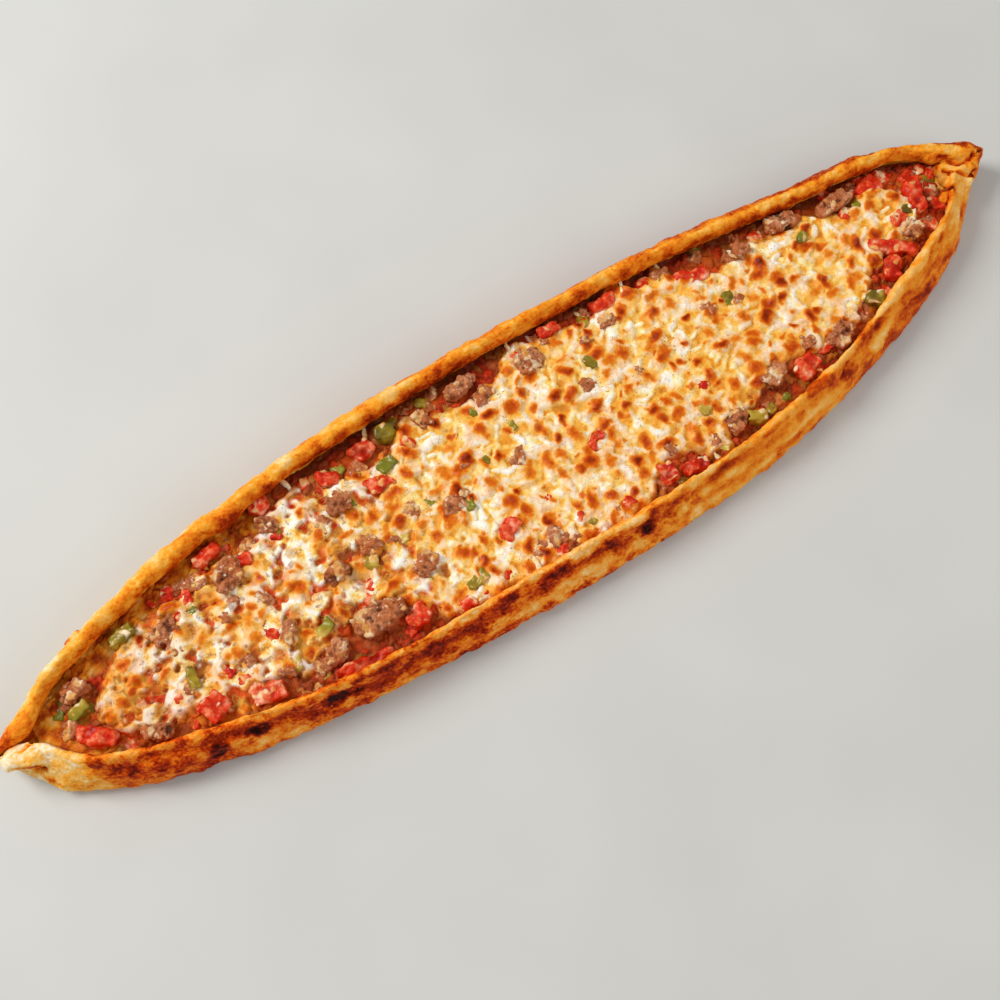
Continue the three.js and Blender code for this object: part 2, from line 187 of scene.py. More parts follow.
def area_light(name, place_m, size_m, watts, colour):
    """A soft square light that faces the bread."""
    data = bpy.data.lights.new(name, "AREA")
    data.shape = "SQUARE"
    data.size = size_m
    data.energy = watts
    data.color = srgb(colour)[:3]
    light = bpy.data.objects.new(name, data)
    light.location = Vector(place_m)
    light.rotation_euler = (-light.location).to_track_quat("-Z", "Y").to_euler()
    bpy.context.scene.collection.objects.link(light)


area_light("window", place_m=(-0.95, 1.1, 1.35), size_m=0.9, watts=31.8, colour="fffcf6")
area_light("bounce", place_m=(0.9, -1.3, 1.2), size_m=1.4, watts=12.5, colour="fff8ee")

world = bpy.data.worlds.new("soft_room")
world.use_nodes = True
room = world.node_tree.nodes["Background"]
room.inputs["Color"].default_value = srgb("f2f4f6")
room.inputs["Strength"].default_value = ROOM_STRENGTH
bpy.context.scene.world = world
bpy.context.scene.view_settings.view_transform = "Standard"
print("two area lights and a room of strength", ROOM_STRENGTH)

# %% [markdown]
# ## Reading the solid model
# The detailed pieces have to sit where the plain solids are. So the plan of the trough, the edges
# of the cheese and the crest of each rim are read from the solids themselves: their vertices lie on
# stations along X, and the lowest and highest Y at each station give the two edges. Past the bed's
# round ends the trough runs on to a point, which a few rows of a table give.

# %% Read the edges of the trough and the cheese
# past the bed's round ends: x, and y of the near and of the far edge
LEFT_END = np.array([(-243, 3.4, 7.0), (-238, -3.4, 12.4), (-231, -11.4, 17.2), (-223, -17.8, 20.6)])
RIGHT_END = np.array([(219, -5.0, 30.6), (225, -1.6, 28.4), (231, 4.2, 25.2), (237, 11.2, 20.0)])
END_GAP_MM = 5                # between those rows and the first and last station that is read
SAME_STATION_MM = 0.06
BED_TOP_ABOVE = 12.0          # the points of the bed's top are higher than this, mm


def vertex_numbers(mesh, field):
    """Three numbers of each vertex of a mesh: "co" is its place and "normal" its normal."""
    numbers = np.empty(len(mesh.vertices) * 3, dtype=np.float64)
    mesh.vertices.foreach_get(field, numbers)
    return numbers.reshape(-1, 3)


def get_points(mesh):
    """The places of a mesh's vertices, in mm."""
    return vertex_numbers(mesh, "co") / MM


def node_points(name):
    """The vertices of one solid, in mm."""
    return get_points(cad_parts[name].data)


def edges_by_station(points):
    """Stations along X, and the lowest and highest Y at each."""
    stations = np.unique(np.round(points[:, 0], 1))
    rows = [points[np.abs(points[:, 0] - x) < SAME_STATION_MM] for x in stations]
    return np.array([(x, row[:, 1].min(), row[:, 1].max()) for x, row in zip(stations, rows)])


bed_rows = edges_by_station(node_points("filling"))
first, last = LEFT_END[-1, 0] + END_GAP_MM, RIGHT_END[0, 0] - END_GAP_MM
bed_rows = bed_rows[(bed_rows[:, 0] > first) & (bed_rows[:, 0] < last)]
bed_x, bed_near, bed_far = np.vstack([LEFT_END, bed_rows, RIGHT_END]).T
cheese_x, cheese_near, cheese_far = edges_by_station(node_points("cheese")).T
bed_levels = node_points("filling")[:, 2]
BED_TOP = float(np.median(bed_levels[bed_levels > BED_TOP_ABOVE]))
print("trough", round(bed_x[0]), "to", round(bed_x[-1]), "mm, bed level", round(BED_TOP, 1), "mm")

# %% Read the crests of the rims
# the seam between the rims, past the trough's ends: x and y
LEFT_SEAM = [(-261, 6.1), (-246, 5.4), (-238, 4.2)]
RIGHT_SEAM = [(240, 15.4), (250, 15.2), (261, 14.8)]
POINTED_ROWS = 3              # at each end of the trough, which the seam leaves out
CREST_END_MM = 258.0
CREST_STEP_MM = 6.0
NEAR_STATION_MM = 5.0

midline = np.column_stack([bed_x, (bed_near + bed_far) / 2])[POINTED_ROWS:-POINTED_ROWS]
seam_x, seam_y = np.vstack([LEFT_SEAM, midline, RIGHT_SEAM]).T
crest_x = np.arange(-CREST_END_MM, CREST_END_MM + 1, CREST_STEP_MM)


def crest_of_rim(side):
    """The Y of one rim's highest line at each station of crest_x."""
    points = node_points("crust")
    rim = points[(points[:, 1] - np.interp(points[:, 0], seam_x, seam_y)) * side > 0]
    tops = []
    for x in crest_x:
        near_x = rim[np.abs(rim[:, 0] - x) < NEAR_STATION_MM]
        tops.append(near_x[near_x[:, 2].argmax(), 1])
    return np.convolve(np.pad(tops, 1, mode="edge"), [0.25, 0.5, 0.25], mode="valid")


crest_near_y, crest_far_y = crest_of_rim(-1), crest_of_rim(1)
print("crests of the rims up to", round(float((crest_far_y - crest_near_y).max())), "mm apart")

# %% [markdown]
# ## Tools for uneven food
# Food has no straight edges. Most of its form here is layered noise: big slow swells, then lumps,
# then wrinkles, each a few times finer and shallower than the last. `bumps` returns such noise for
# a whole array of points, always between about -1 and 1.

# %% Noise and mesh helpers


def bumps(points, size_mm, seed=0.0):
    """Smooth noise with lumps about size_mm across at each point."""
    scaled = points / size_mm + np.array([seed * 7.3, seed * 3.1, seed * 5.7])
    return np.array([noise.noise(p) for p in scaled]) * 1.6


def layered(points, layers, first_seed=0):
    """Noise of several sizes added up. layers: size in mm and strength of each."""
    return sum(strength * bumps(points, size, first_seed + number)
               for number, (size, strength) in enumerate(layers))


def wobble(points, size_mm, *seeds):
    """Noise to shift places by, with a column for each seed."""
    return np.column_stack([bumps(points, size_mm, seed) for seed in seeds])


def step(low, high, value):
    """0 below low, 1 above high and a smooth rise between."""
    t = np.clip((value - low) / (high - low), 0, 1)
    return t * t * (3 - 2 * t)


def blend(pair, share):
    """From the first of two values to the second, as share goes from 0 to 1."""
    return pair[0] + (pair[1] - pair[0]) * share


def set_points(mesh, points):
    """Moves a mesh's vertices to places in mm."""
    mesh.vertices.foreach_set("co", (points * MM).ravel())
    mesh.update()


def carry(mesh, **numbers):
    """Stores a number for each vertex under each name, which materials read as attributes."""
    for name, values in numbers.items():
        layer = mesh.attributes.get(name) or mesh.attributes.new(name, "FLOAT", "POINT")
        layer.data.foreach_set("value", np.full(len(mesh.vertices), values, dtype=np.float32))


def finish_piece(name, mesh, material, replaced=()):
    """Names a mesh, dresses it, shades it smooth and puts it in the scene on the bread."""
    mesh.name = name
    mesh.materials.clear()
    mesh.materials.append(material)
    mesh.polygons.foreach_set("use_smooth", [True] * len(mesh.polygons))
    piece = bpy.data.objects.new(name, mesh)
    bpy.context.scene.collection.objects.link(piece)
    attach(piece, "root")
    if replaced:
        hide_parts(*replaced)
    print(name, sum(len(p.vertices) - 2 for p in mesh.polygons), "triangles")


def with_modifiers(mesh, *modifiers):
    """The mesh after the given modifiers: (type, settings) pairs, applied in order."""
    holder = bpy.data.objects.new("holder", mesh)
    bpy.context.scene.collection.objects.link(holder)
    for kind, settings in modifiers:
        modifier = holder.modifiers.new(kind, kind)
        for name, value in settings.items():
            setattr(modifier, name, value)
    finished = holder.evaluated_get(bpy.context.evaluated_depsgraph_get())
    result = bpy.data.meshes.new_from_object(finished)
    bpy.data.objects.remove(holder)
    return result


MERGE_MM = 0.02


def copy_of_nodes(*names):
    """One merged mesh of the named solids."""
    form = bmesh.new()
    for name in names:
        form.from_mesh(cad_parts[name].data)
    bmesh.ops.remove_doubles(form, verts=form.verts, dist=MERGE_MM * MM)
    return as_mesh(form, "copy")


print("mesh helpers ready")

# %% [markdown]
# ## The crust
# Baked dough is a soft swollen skin with creases, small blisters and scorched spots. The solid has
# the boat's form in flat facets. Pairs of its triangles are joined into quads, and two rounds of
# subdivision make them smooth. Subdivision is used rather than a remesh because it keeps the rims'
# rows of points. It also draws a form in, so the corners are first moved out by what they lose,
# and the smooth crust then keeps the solid's outline.

# %% Smooth crust
MOST_GROWTH_MM = 1.4
SUBDIVISION = ("SUBSURF", {"levels": 2, "render_levels": 2})

crust_form = bmesh.new()
crust_form.from_mesh(copy_of_nodes("crust"))
bmesh.ops.join_triangles(crust_form, faces=crust_form.faces,
                         angle_face_threshold=math.radians(50),
                         angle_shape_threshold=math.radians(60))
crust_quads = as_mesh(crust_form, "crust_quads")
corners = get_points(crust_quads)
drawn_in = corners - get_points(with_modifiers(crust_quads, SUBDIVISION))[:len(corners)]
lost = np.linalg.norm(drawn_in, axis=1, keepdims=True)
set_points(crust_quads, corners + drawn_in * np.minimum(1, MOST_GROWTH_MM / np.maximum(lost, 0.01)))
crust_smooth = with_modifiers(crust_quads, SUBDIVISION)
print("smooth crust", len(crust_smooth.vertices), "vertices")

# %% [markdown]
# ### Finer rims and a softer tip
# The rims show most, so their long edges are cut once more and the hidden trough stays coarse. At
# the right tip several layers of dough meet in small steep steps. A few rounds of smoothing on its
# top make them read as soft dough that was wrapped and pressed.

# %% Finer rims and a softer tip
LONG_EDGE_MM = 1.3
FINE_ABOVE_MM = 2.0           # over the table
FINE_INSIDE_MM = 4.5          # inside the crest
TIP_FROM_MM = 228
TIP_ABOVE_MM = 10
TIP_FACES_UP = 0.3
TIP_SMOOTHINGS = 8


def rim_places(points):
    """Which points are on the far side, and how far each is outside its rim's crest, in mm."""
    x, y, _ = points.T
    far = y > np.interp(x, seam_x, seam_y)
    crest = np.where(far, np.interp(x, crest_x, crest_far_y), np.interp(x, crest_x, crest_near_y))
    return far, np.where(far, y - crest, crest - y)


crust_form = bmesh.new()
crust_form.from_mesh(crust_smooth)
centres = np.array([face.calc_center_median() for face in crust_form.faces]) / MM
shown = (centres[:, 2] > FINE_ABOVE_MM) & (rim_places(centres)[1] > -FINE_INSIDE_MM)
long_edges = {edge for face, is_shown in zip(crust_form.faces, shown) if is_shown
              for edge in face.edges if edge.calc_length() > LONG_EDGE_MM * MM}
bmesh.ops.subdivide_edges(crust_form, edges=list(long_edges), cuts=1, use_grid_fill=True)
tip_top = [vert for vert in crust_form.verts if vert.normal.z > TIP_FACES_UP
           and vert.co.x > TIP_FROM_MM * MM and vert.co.z > TIP_ABOVE_MM * MM]
for _ in range(TIP_SMOOTHINGS):
    bmesh.ops.smooth_vert(crust_form, verts=tip_top, factor=0.5,
                          use_axis_x=True, use_axis_y=True, use_axis_z=True)
crust_mesh = as_mesh(crust_form, "crust_fine")
print(len(long_edges), "long edges cut,", len(tip_top), "points smoothed at the tip")

# %% [markdown]
# ### Swells, creases and folds
# Risen dough is never even. Layers of noise along the normals give its slow swells and small
# lumps. Each crease is a shallow groove that wanders along a rim, where the dough stretched as it
# rose. A fold is deeper and follows a drawn line, where one layer laps over another at the tips.

# %% Swells, creases and folds
CRUST_SWELLS = ((15.0, 0.5), (6.0, 0.45), (2.8, 0.3), (1.4, 0.16))     # lump size and height, mm
TROUGH_FROM_MM = -5.0         # outside the crest: from here inwards the crust is smoother
TROUGH_SWELL = 0.35
CREASES = (
    # far side or not; how far outside the crest, mm; from and to along X; depth, mm
    (False, 4.8, -20, 145, 1.6), (False, 8.6, 40, 135, 1.1), (False, 6.2, -110, -20, 1.1),
    (False, 3.6, 150, 236, 1.5), (False, 5.0, -215, -110, 1.0), (False, 10.6, 60, 160, 0.8),
    (False, 7.4, 165, 228, 1.0), (False, 8.8, -180, -30, 0.7), (True, 2.2, -60, 70, 0.6),
    (True, 1.0, 90, 235, 0.9), (True, 3.4, 120, 215, 0.6), (True, 3.0, -215, -110, 0.5),
)
CREASE_HALF_WIDTH = 1.25
CREASE_END_MM = 12            # over which it fades out at each end
CREASE_ABOVE = (2.0, 5.0)     # heights between which creases fade in, mm
CREASE_WANDER_MM = 1.1
CREASE_BEND_MM = 17.0         # how long each of its bends is
FOLDS = (
    # where one layer of dough laps over another at the tips: places along the line
    ((237, 19.5), (239.4, 18.6), (241.2, 15.8), (243.3, 13.2), (246.4, 11.9), (250.1, 12.0),
     (252.7, 13.0)),
    ((235.5, 13.7), (238.4, 10.7), (241.9, 7.5), (245.4, 5.9), (249.6, 6.1)),
    ((229, 5.2), (233, 3.6), (232.5, 0.5)), ((-250, 1.6), (-244, 3.4), (-238, 1.0)),
    ((-258, -3.4), (-251, -6.8), (-246, -8.6)),
)
FOLD_HALF_WIDTH = 1.0
FOLD_DEPTH = 1.9
TIP_LAYERS_ABOVE = (8.0, 12.0)                 # heights between which folds fade in, mm
OFF_TABLE = (0.3, 3.0)        # heights between which any movement fades in, mm
FOOT_IN = 1.3                 # the near wall's foot is tucked in a little near the left tip, mm
FOOT_RIGHT, FOOT_LEFT, FOOT_BELOW = (-165, -185), (-246, -238), (14, 3)        # where, mm


def away_from(line, points_xy):
    """How far each place is from a line through a few points, in mm."""
    line = np.array(line, dtype=float)
    best = np.full(len(points_xy), 1e3)
    for start, end in zip(line[:-1], line[1:]):
        span = end - start
        share = np.clip((points_xy - start) @ span / (span @ span), 0, 1)
        best = np.minimum(best, np.linalg.norm(points_xy - start - share[:, None] * span, axis=1))
    return best


points = get_points(crust_mesh)
normals = vertex_numbers(crust_mesh, "normal")
x, y, z = points.T
far_side, outward = rim_places(points)
swell = layered(points, CRUST_SWELLS)
swell = np.where(outward < TROUGH_FROM_MM, swell * TROUGH_SWELL, swell)
crease = np.zeros(len(points))
for number, (on_far, line, start, end, depth) in enumerate(CREASES):
    away = outward - line - CREASE_WANDER_MM * bumps(points * [1, 0, 0], CREASE_BEND_MM, 8 + number)
    reach = step(start - CREASE_END_MM, start + CREASE_END_MM, x) * (far_side == on_far)
    reach *= step(end + CREASE_END_MM, end - CREASE_END_MM, x)
    crease = np.maximum(crease, depth * reach * np.exp(-(away / CREASE_HALF_WIDTH) ** 2))
crease *= step(*CREASE_ABOVE, z)
fold = np.zeros(len(points))
for line in FOLDS:
    fold = np.maximum(fold, np.exp(-(away_from(line, points[:, :2]) / FOLD_HALF_WIDTH) ** 2))
fold *= step(*TIP_LAYERS_ABOVE, z)
moved = points + normals * ((swell - crease - FOLD_DEPTH * fold) * step(*OFF_TABLE, z))[:, None]
foot = step(*FOOT_RIGHT, x) * step(*FOOT_LEFT, x) * step(*FOOT_BELOW, z) * ~far_side
moved[:, 1] += FOOT_IN * foot
low, high = np.array(CAD_BOX) / MM
set_points(crust_mesh, np.clip(moved, low, high))
print("crust", len(points), "vertices")

# %% [markdown]
# ### Where the crust is pale, golden, brown and charred
# The oven colours what stands highest and what faces the fire. The mesh carries a number for the
# depth of baking at each vertex, which a colour ramp turns into pale dough, gold, red-brown and
# char. Tables give the baking in hundredths along lines on each rim, from its inner lip to its
# foot, and between the lines it is blended.

# %% Tables of baking
BAKE_X = (-255, -240, -225, -205, -185, -155, -125, -95, -60, -20, 20,
          45, 75, 100, 125, 145, 165, 185, 205, 225, 240, 255)
NEAR_BAKE = (
    # mm outside the crest, then the baking at each X above
    (-2.5, (12, 22, 44, 48, 48, 46, 46, 44, 40, 38, 36, 38, 38, 38, 38, 38, 34, 34, 38, 36, 32, 38)),
    (0.6, (12, 26, 44, 41, 42, 36, 34, 32, 28, 26, 27, 29, 30, 32, 38, 40, 34, 34, 34, 34, 36, 40)),
    (3.0, (10, 28, 52, 62, 64, 62, 64, 65, 66, 66, 62, 54, 48, 46, 46, 52, 48, 46, 44, 42, 40, 42)),
    (6.2, (10, 27, 47, 50, 56, 50, 53, 56, 56, 54, 49, 40, 38, 36, 38, 42, 40, 38, 38, 38, 38, 42)),
    (8.6, (10, 28, 46, 46, 43, 39, 40, 40, 38, 36, 37, 34, 36, 36, 36, 42, 44, 46, 44, 42, 38, 42)),
    (11.5, (14, 30, 49, 54, 58, 58, 60, 62, 58, 58, 54, 50, 48, 48, 50, 52, 54, 58, 54, 50, 42, 44)),
)
FAR_BAKE = (
    # the first row, on the inner wall under the far lip, is dark as painted shade in the gap there
    (-6.0, (52, 54, 56, 60, 66, 72, 78, 80, 82, 84, 84, 84, 84, 86, 86, 86, 86, 86, 80, 56, 36, 36)),
    (-3.2, (48, 48, 46, 44, 44, 46, 44, 40, 46, 48, 48, 48, 48, 50, 48, 42, 38, 38, 44, 40, 36, 54)),
    (-0.5, (42, 34, 36, 34, 36, 36, 33, 33, 38, 40, 40, 40, 42, 42, 40, 36, 32, 34, 44, 42, 44, 62)),
    (2.2, (34, 24, 25, 24, 31, 36, 33, 31, 36, 40, 42, 43, 46, 48, 48, 58, 62, 64, 64, 62, 62, 70)),
    (4.6, (30, 18, 15, 13, 17, 27, 29, 31, 38, 46, 47, 54, 62, 62, 62, 70, 74, 74, 72, 70, 72, 74)),
    (9.0, (36, 30, 30, 30, 34, 40, 46, 48, 52, 56, 54, 60, 64, 64, 64, 70, 70, 70, 68, 68, 70, 72)),
)
print(len(NEAR_BAKE), "lines on the near rim and", len(FAR_BAKE), "on the far one")

# %% [markdown]
# ### Scorched spots, pale streaks and the tip
# Scorched spots lie along the near rim, where the dough blistered against the heat. Each has its
# place, size and depth. The brown ones are held back softly where they meet, so that they don't
# add up to black, and the few charred ones go past that limit. Pale streaks run between them, and
# at the right tip strokes give each layer of dough its own baking.

# %% Tables of spots and strokes
BROWN_SPOTS = (
    # x, y, z, half length, half height, depth
    (-196.8, -36.7, 13, 4.6, 3.0, 0.24), (-117.1, -46.0, 20, 3.0, 1.6, 0.30),
    (-106.4, -47.2, 20, 6.0, 1.6, 0.30), (-140.5, -42.5, 20, 5.0, 1.4, 0.20),
    (-82.5, -52.0, 16, 7.0, 2.6, 0.20), (-47.6, -50.6, 19, 6.0, 2.0, 0.20),
    (-30.8, -55.0, 15, 6.0, 3.0, 0.12), (-23.6, -50.8, 20, 7.0, 1.8, 0.20),
    (-2.0, -52.4, 17, 9.0, 1.6, 0.10), (20.9, -54.9, 14, 3.6, 3.0, 0.30),
    (-194.8, -24.6, 20, 5.0, 1.4, 0.14), (-203.7, -31.0, 14, 4.0, 3.0, 0.22),
    (-213.0, -31.0, 13, 5.0, 3.4, 0.20), (-220.0, -27.5, 14, 4.0, 2.6, 0.16),
    (-226.8, -19.6, 20, 2.6, 2.0, 0.30), (-248.0, -14.0, 9, 3.0, 2.5, 0.30),
    (46.6, -54.8, 13, 3.0, 1.2, 0.16), (64.5, -50.5, 20, 4.0, 1.4, 0.20),
    (93.0, -48.0, 20, 6.0, 1.8, 0.18), (121.5, -44.4, 21, 8.0, 2.2, 0.20),
    (127.5, -46.0, 20, 3.0, 2.0, 0.18), (139.2, -43.0, 14, 4.6, 4.0, 0.32),
    (150.4, -42.0, 9, 5.0, 2.6, 0.16), (150.2, -38.8, 21, 4.0, 1.8, 0.16),
    (160.5, -33.4, 20, 5.0, 2.2, 0.22), (165.7, -38.0, 8, 5.0, 2.6, 0.24),
    (184.0, -27.4, 14, 5.0, 2.6, 0.16), (193.5, -29.0, 8, 8.5, 3.4, 0.26),
    (205.2, -19.0, 20, 2.4, 1.6, 0.20), (213.5, -15.4, 20, 2.2, 1.8, 0.24),
    (199.1, -24.5, 15, 5.0, 2.0, 0.14), (-214.0, 33.0, 16.5, 2.4, 2.2, 0.40),
    (-207.5, 35.5, 16.5, 1.6, 2.0, 0.36), (-230.0, 24.5, 17, 2.2, 2.0, 0.26),
)
CHARRED_SPOTS = (
    (-181.7, -40.0, 12, 4.2, 3.4, 0.30), (-163.8, -41.2, 14, 4.4, 2.8, 0.32),
    (-126.9, -47.0, 14, 7.0, 3.8, 0.34), (-23.0, -51.0, 19, 3.0, 1.2, 0.14),
    (20.9, -54.9, 14, 2.4, 2.0, 0.14), (139.2, -43.0, 14, 2.4, 2.2, 0.10),
)
PALE_STREAKS = (
    (-96.0, -53.6, 5, 7.0), (-61.0, -56.6, 7, 7.0), (-13.0, -59.6, 8, 6.0), (54.0, -57.5, 8, 9.0),
    (-150.0, -47.0, 6, 8.0), (110.0, -52.0, 10, 9.0), (160.0, -37.5, 14, 6.0),
)
TIP_STROKES = (
    # a line through places, how far it reaches to each side, in mm, and the baking there
    (((234, 11), (238, 10), (244, 5)), 4.6, 0.29), (((243, 6.6), (245.4, 0.5)), 2.2, 0.18),
    # the first stroke on the next line is a painted highlight along the top of the roll
    (((233, 29.8), (238, 26.8)), 1.8, 0.24), (((241.8, 21.1), (246.6, 18.1)), 2.6, 0.27),
    (((241.7, 25.6), (246.2, 22.2), (249.5, 18.8)), 1.3, 0.68),
    (((248, 16), (252, 15), (254, 11)), 2.0, 0.47),
    (((252.4, 19.5), (256.3, 18.3), (258.2, 15.5), (257.8, 11.6), (255.7, 8.5), (252.7, 6.6)),
     1.7, 0.68),
    (((226, 0.4), (231.5, 3.0)), 2.2, 0.58), (((228, -4.5), (236, 2), (240, 3)), 2.4, 0.30),
)
print(len(BROWN_SPOTS), "brown and", len(CHARRED_SPOTS), "charred spots")

# %% Baking helpers
SPOT_INTO_WALL = 4.0          # how far each spot reaches into the wall, mm
SPOT_RAGS = ((3.0, 0.9), (1.3, 0.5))           # size in mm and strength
SPOT_FADE = (2.6, -0.2)       # from its border to its middle


def baking(table, along, away):
    """The table's value at each place along and away from the crest, from 0 to 1."""
    lines = np.array([np.interp(along, BAKE_X, row) for _, row in table]) / 100
    at = np.array([line for line, _ in table])
    upper = np.clip(np.searchsorted(at, away), 1, len(at) - 1)
    share = np.clip((away - at[upper - 1]) / (at[upper] - at[upper - 1]), 0, 1)
    column = np.arange(len(along))
    return lines[upper - 1, column] * (1 - share) + lines[upper, column] * share


def scorched(bake, spots):
    """The baking with ragged darker spots added."""
    for sx, sy, sz, half_length, half_height, depth in spots:
        away = (points - [sx, sy, sz]) / [half_length, SPOT_INTO_WALL, half_height]
        ragged = sum(strength * bumps(points, size, sx) for size, strength in SPOT_RAGS)
        bake = bake + depth * step(*SPOT_FADE, (away ** 2).sum(axis=1) + ragged)
    return bake


def drawn_out_bumps(along, size_mm, strength, seed):
    """Noise on the crust whose lumps are longer along X where along is below one."""
    return strength * bumps(points * [along, 1, 1], size_mm, seed)


print("baking helpers ready")

# %% What varies the baking
LINE_WANDER_MM = 1.5          # how far the tables' lines wander
# how each is scaled along X, its size in mm and its strength
MOTTLES = ((1.0, 15.0, 0.10), (0.7, 5.5, 0.11), (0.7, 1.8, 0.06))
LONG_STREAKS = (0.3, 4.5, 0.13)                # on the near rim's right part
NEAR_RIGHT = (30, 70)         # where that part begins, mm
CALMER_THERE, CALMER_FAR = 0.42, 0.15          # how much weaker the mottles are there
CONTRAST = 0.10               # how much further the near rim goes from its usual depth
USUAL_LEFT, USUAL_RIGHT, CHANGES_AT = 0.50, 0.44, 40
SPECKS, SPECK_FIELDS = (1.6, 0.25, 0.7), (9.0, -0.2, 0.5)      # for in_patches
SPECK_DEPTH = 0.16
SPECKS_ABOVE = (0.2, 0.4)     # depths of baking between which specks fade in
CREASE_SHADE = (0.08, 0.05)     # painted shade added to the baking in creases, in the left and in the right part
FOLD_SHADE = 0.42               # and in folds, as painted shade
DEEPEST_BROWN = 0.63          # without char
BROWN_KEPT = 0.5              # of what goes past it
STREAK_DEPTH = 0.26
STREAK_INTO_WALL, STREAK_HALF_HEIGHT = 3.0, 1.5                # mm


def in_patches(kind, seed):
    """0 to 1 in patches on the crust. kind: size in mm, and the noise where they begin and end."""
    size_mm, low_noise, high_noise = kind
    return step(low_noise, high_noise, bumps(points, size_mm, seed))


print("mottles of", [size for _, size, _ in MOTTLES], "mm")

# %% Baking of the rims and tips
_, out_wander = rim_places(points + LINE_WANDER_MM * wobble(points, 6.0, 51, 52, 53))
bake = np.where(far_side, baking(FAR_BAKE, x, out_wander), baking(NEAR_BAKE, x, out_wander))
near_right = step(*NEAR_RIGHT, x) * ~far_side
mottled = 1 - CALMER_THERE * near_right - CALMER_FAR * far_side
bake += mottled * sum(drawn_out_bumps(*mottle, seed) for seed, mottle in enumerate(MOTTLES, 11))
bake += near_right * drawn_out_bumps(*LONG_STREAKS, 19)
bake += CONTRAST * ~far_side * (bake - np.where(x > CHANGES_AT, USUAL_RIGHT, USUAL_LEFT))
speckle = in_patches(SPECKS, 14) * in_patches(SPECK_FIELDS, 15) * step(*SPECKS_ABOVE, bake)
bake += SPECK_DEPTH * mottled * speckle
# creases and folds are darkened with painted shade
bake += blend(CREASE_SHADE, step(*NEAR_RIGHT, x)) * crease + FOLD_SHADE * fold
bake = scorched(bake, BROWN_SPOTS)
bake = np.where(bake > DEEPEST_BROWN, DEEPEST_BROWN + BROWN_KEPT * (bake - DEEPEST_BROWN), bake)
bake = scorched(bake, CHARRED_SPOTS)
for sx, sy, sz, half_length in PALE_STREAKS:
    away = (points - [sx, sy, sz]) / [half_length, STREAK_INTO_WALL, STREAK_HALF_HEIGHT]
    bake -= STREAK_DEPTH * np.exp(-(away ** 2).sum(axis=1))
# Each stroke sets its own baking, with painted shade in the folds.
for line, half_width, target in TIP_STROKES:
    stroke = 0.9 * np.exp(-(away_from(line, points[:, :2]) / half_width) ** 4)
    stroke *= step(*TIP_LAYERS_ABOVE, z)
    bake += (target + 0.08 * bumps(points, 3.5, 16) + 0.45 * fold - bake) * stroke
print("baking of the rims from", round(float(bake.min()), 2), "to", round(float(bake.max()), 2))

# %% Baking of the underside and the trough
PALEST = 0.12
TWICE_FROM = (-200, -150)     # the near rim's palest is twice that from here to the right, mm
OVEN_SPOTS = (9.0, 0.1, 0.6)  # of the underside, for in_patches
OVEN_SPOT_DEPTH, UNDERSIDE_PALER = 0.35, 0.1
TROUGH_INSIDE, TROUGH_BELOW = (-4.2, -6.5), (20.0, 16.0)       # where the dough is oily and darkened with painted shade, mm
TROUGH_ENDS = ((-225, -180), (236, 230))       # where the oil and painted shade get thin, mm along X
OIL_AT_ENDS = 0.25
REDDISH_RIGHT = 0.4           # painted warm bounce light from the board on the near rim's right part, where the left is 1
REDDER = (60, -40)            # where that painted warm light grows towards the left, mm
PAST_TIP = (-240, -215)       # the left tip, which gets none of it, ends here, mm

bake = np.maximum(bake, PALEST * (1 + step(*TWICE_FROM, x) * ~far_side))
underside = step(0.6, 0.1, z) * (normals[:, 2] < -0.5)
bake += underside * (OVEN_SPOT_DEPTH * in_patches(OVEN_SPOTS, 21) - UNDERSIDE_PALER)
# Low on the trough's inner walls the dough is oily, and darkened there with painted shade in the gap
# under the lips.
oil = step(*TROUGH_INSIDE, outward) * step(*TROUGH_BELOW, z)
oil *= blend((OIL_AT_ENDS, 1.0), step(*TROUGH_ENDS[0], x) * step(*TROUGH_ENDS[1], x))
# The near rim is reddened with painted warm light bounced up from the board.
reddish = ~far_side * blend((REDDISH_RIGHT, 1.0), step(*REDDER, x)) * step(*PAST_TIP, x)
carry(crust_mesh, bake=np.clip(bake, 0, 1), mottled=mottled, reddish=reddish,
      oil=np.clip(oil, 0, 1))
print("baking from", round(float(bake.min()), 2), "to", round(float(bake.max()), 2))

# %% [markdown]
# ### Baked dough
# Stone-baked wheat dough is dry and slightly glossy where the oil and the egg wash browned. Its
# roughness is about 0.55, its IOR near 1.45, and under the surface it is a pale foam that lets a
# little light through. Fine noise breaks up the baking map, so that the colour has specks of about
# half a millimetre that the mesh is too coarse to hold.

# %% Crust material
baked_dough, add = new_material("stone_baked_dough")
place = add("TexCoord", output="Object")
drawn_out = add("VectorMath", place, (0.8, 1.0, 1.0), operation="MULTIPLY")       # along X
carried = {name: add("Attribute", output="Fac", attribute_name=name)
           for name in ("bake", "mottled", "reddish", "oil")}
fine = add("TexNoise", drawn_out, lumps(0.6), 4.0, 0.6)
coarse = add("TexNoise", drawn_out, lumps(2.2), 4.0, 0.65)
specks = add("Math", coarse, 0.45, -0.5, operation="MULTIPLY_ADD")
specks = add("Math", fine, 0.55, specks, operation="MULTIPLY_ADD")
depth = add("Math", specks, carried["mottled"], carried["bake"],
            operation="MULTIPLY_ADD", use_clamp=True)
golden = add("ValToRGB", depth, stops=[
    (0.0, "fff4e4"), (0.12, "ffe6bc"), (0.22, "ffcc76"), (0.36, "fdae34"), (0.48, "f28c1a"),
    (0.6, "da600a"), (0.7, "ac3402"), (0.8, "741a01"), (0.9, "3a0b02"), (1.0, "160502"),
])
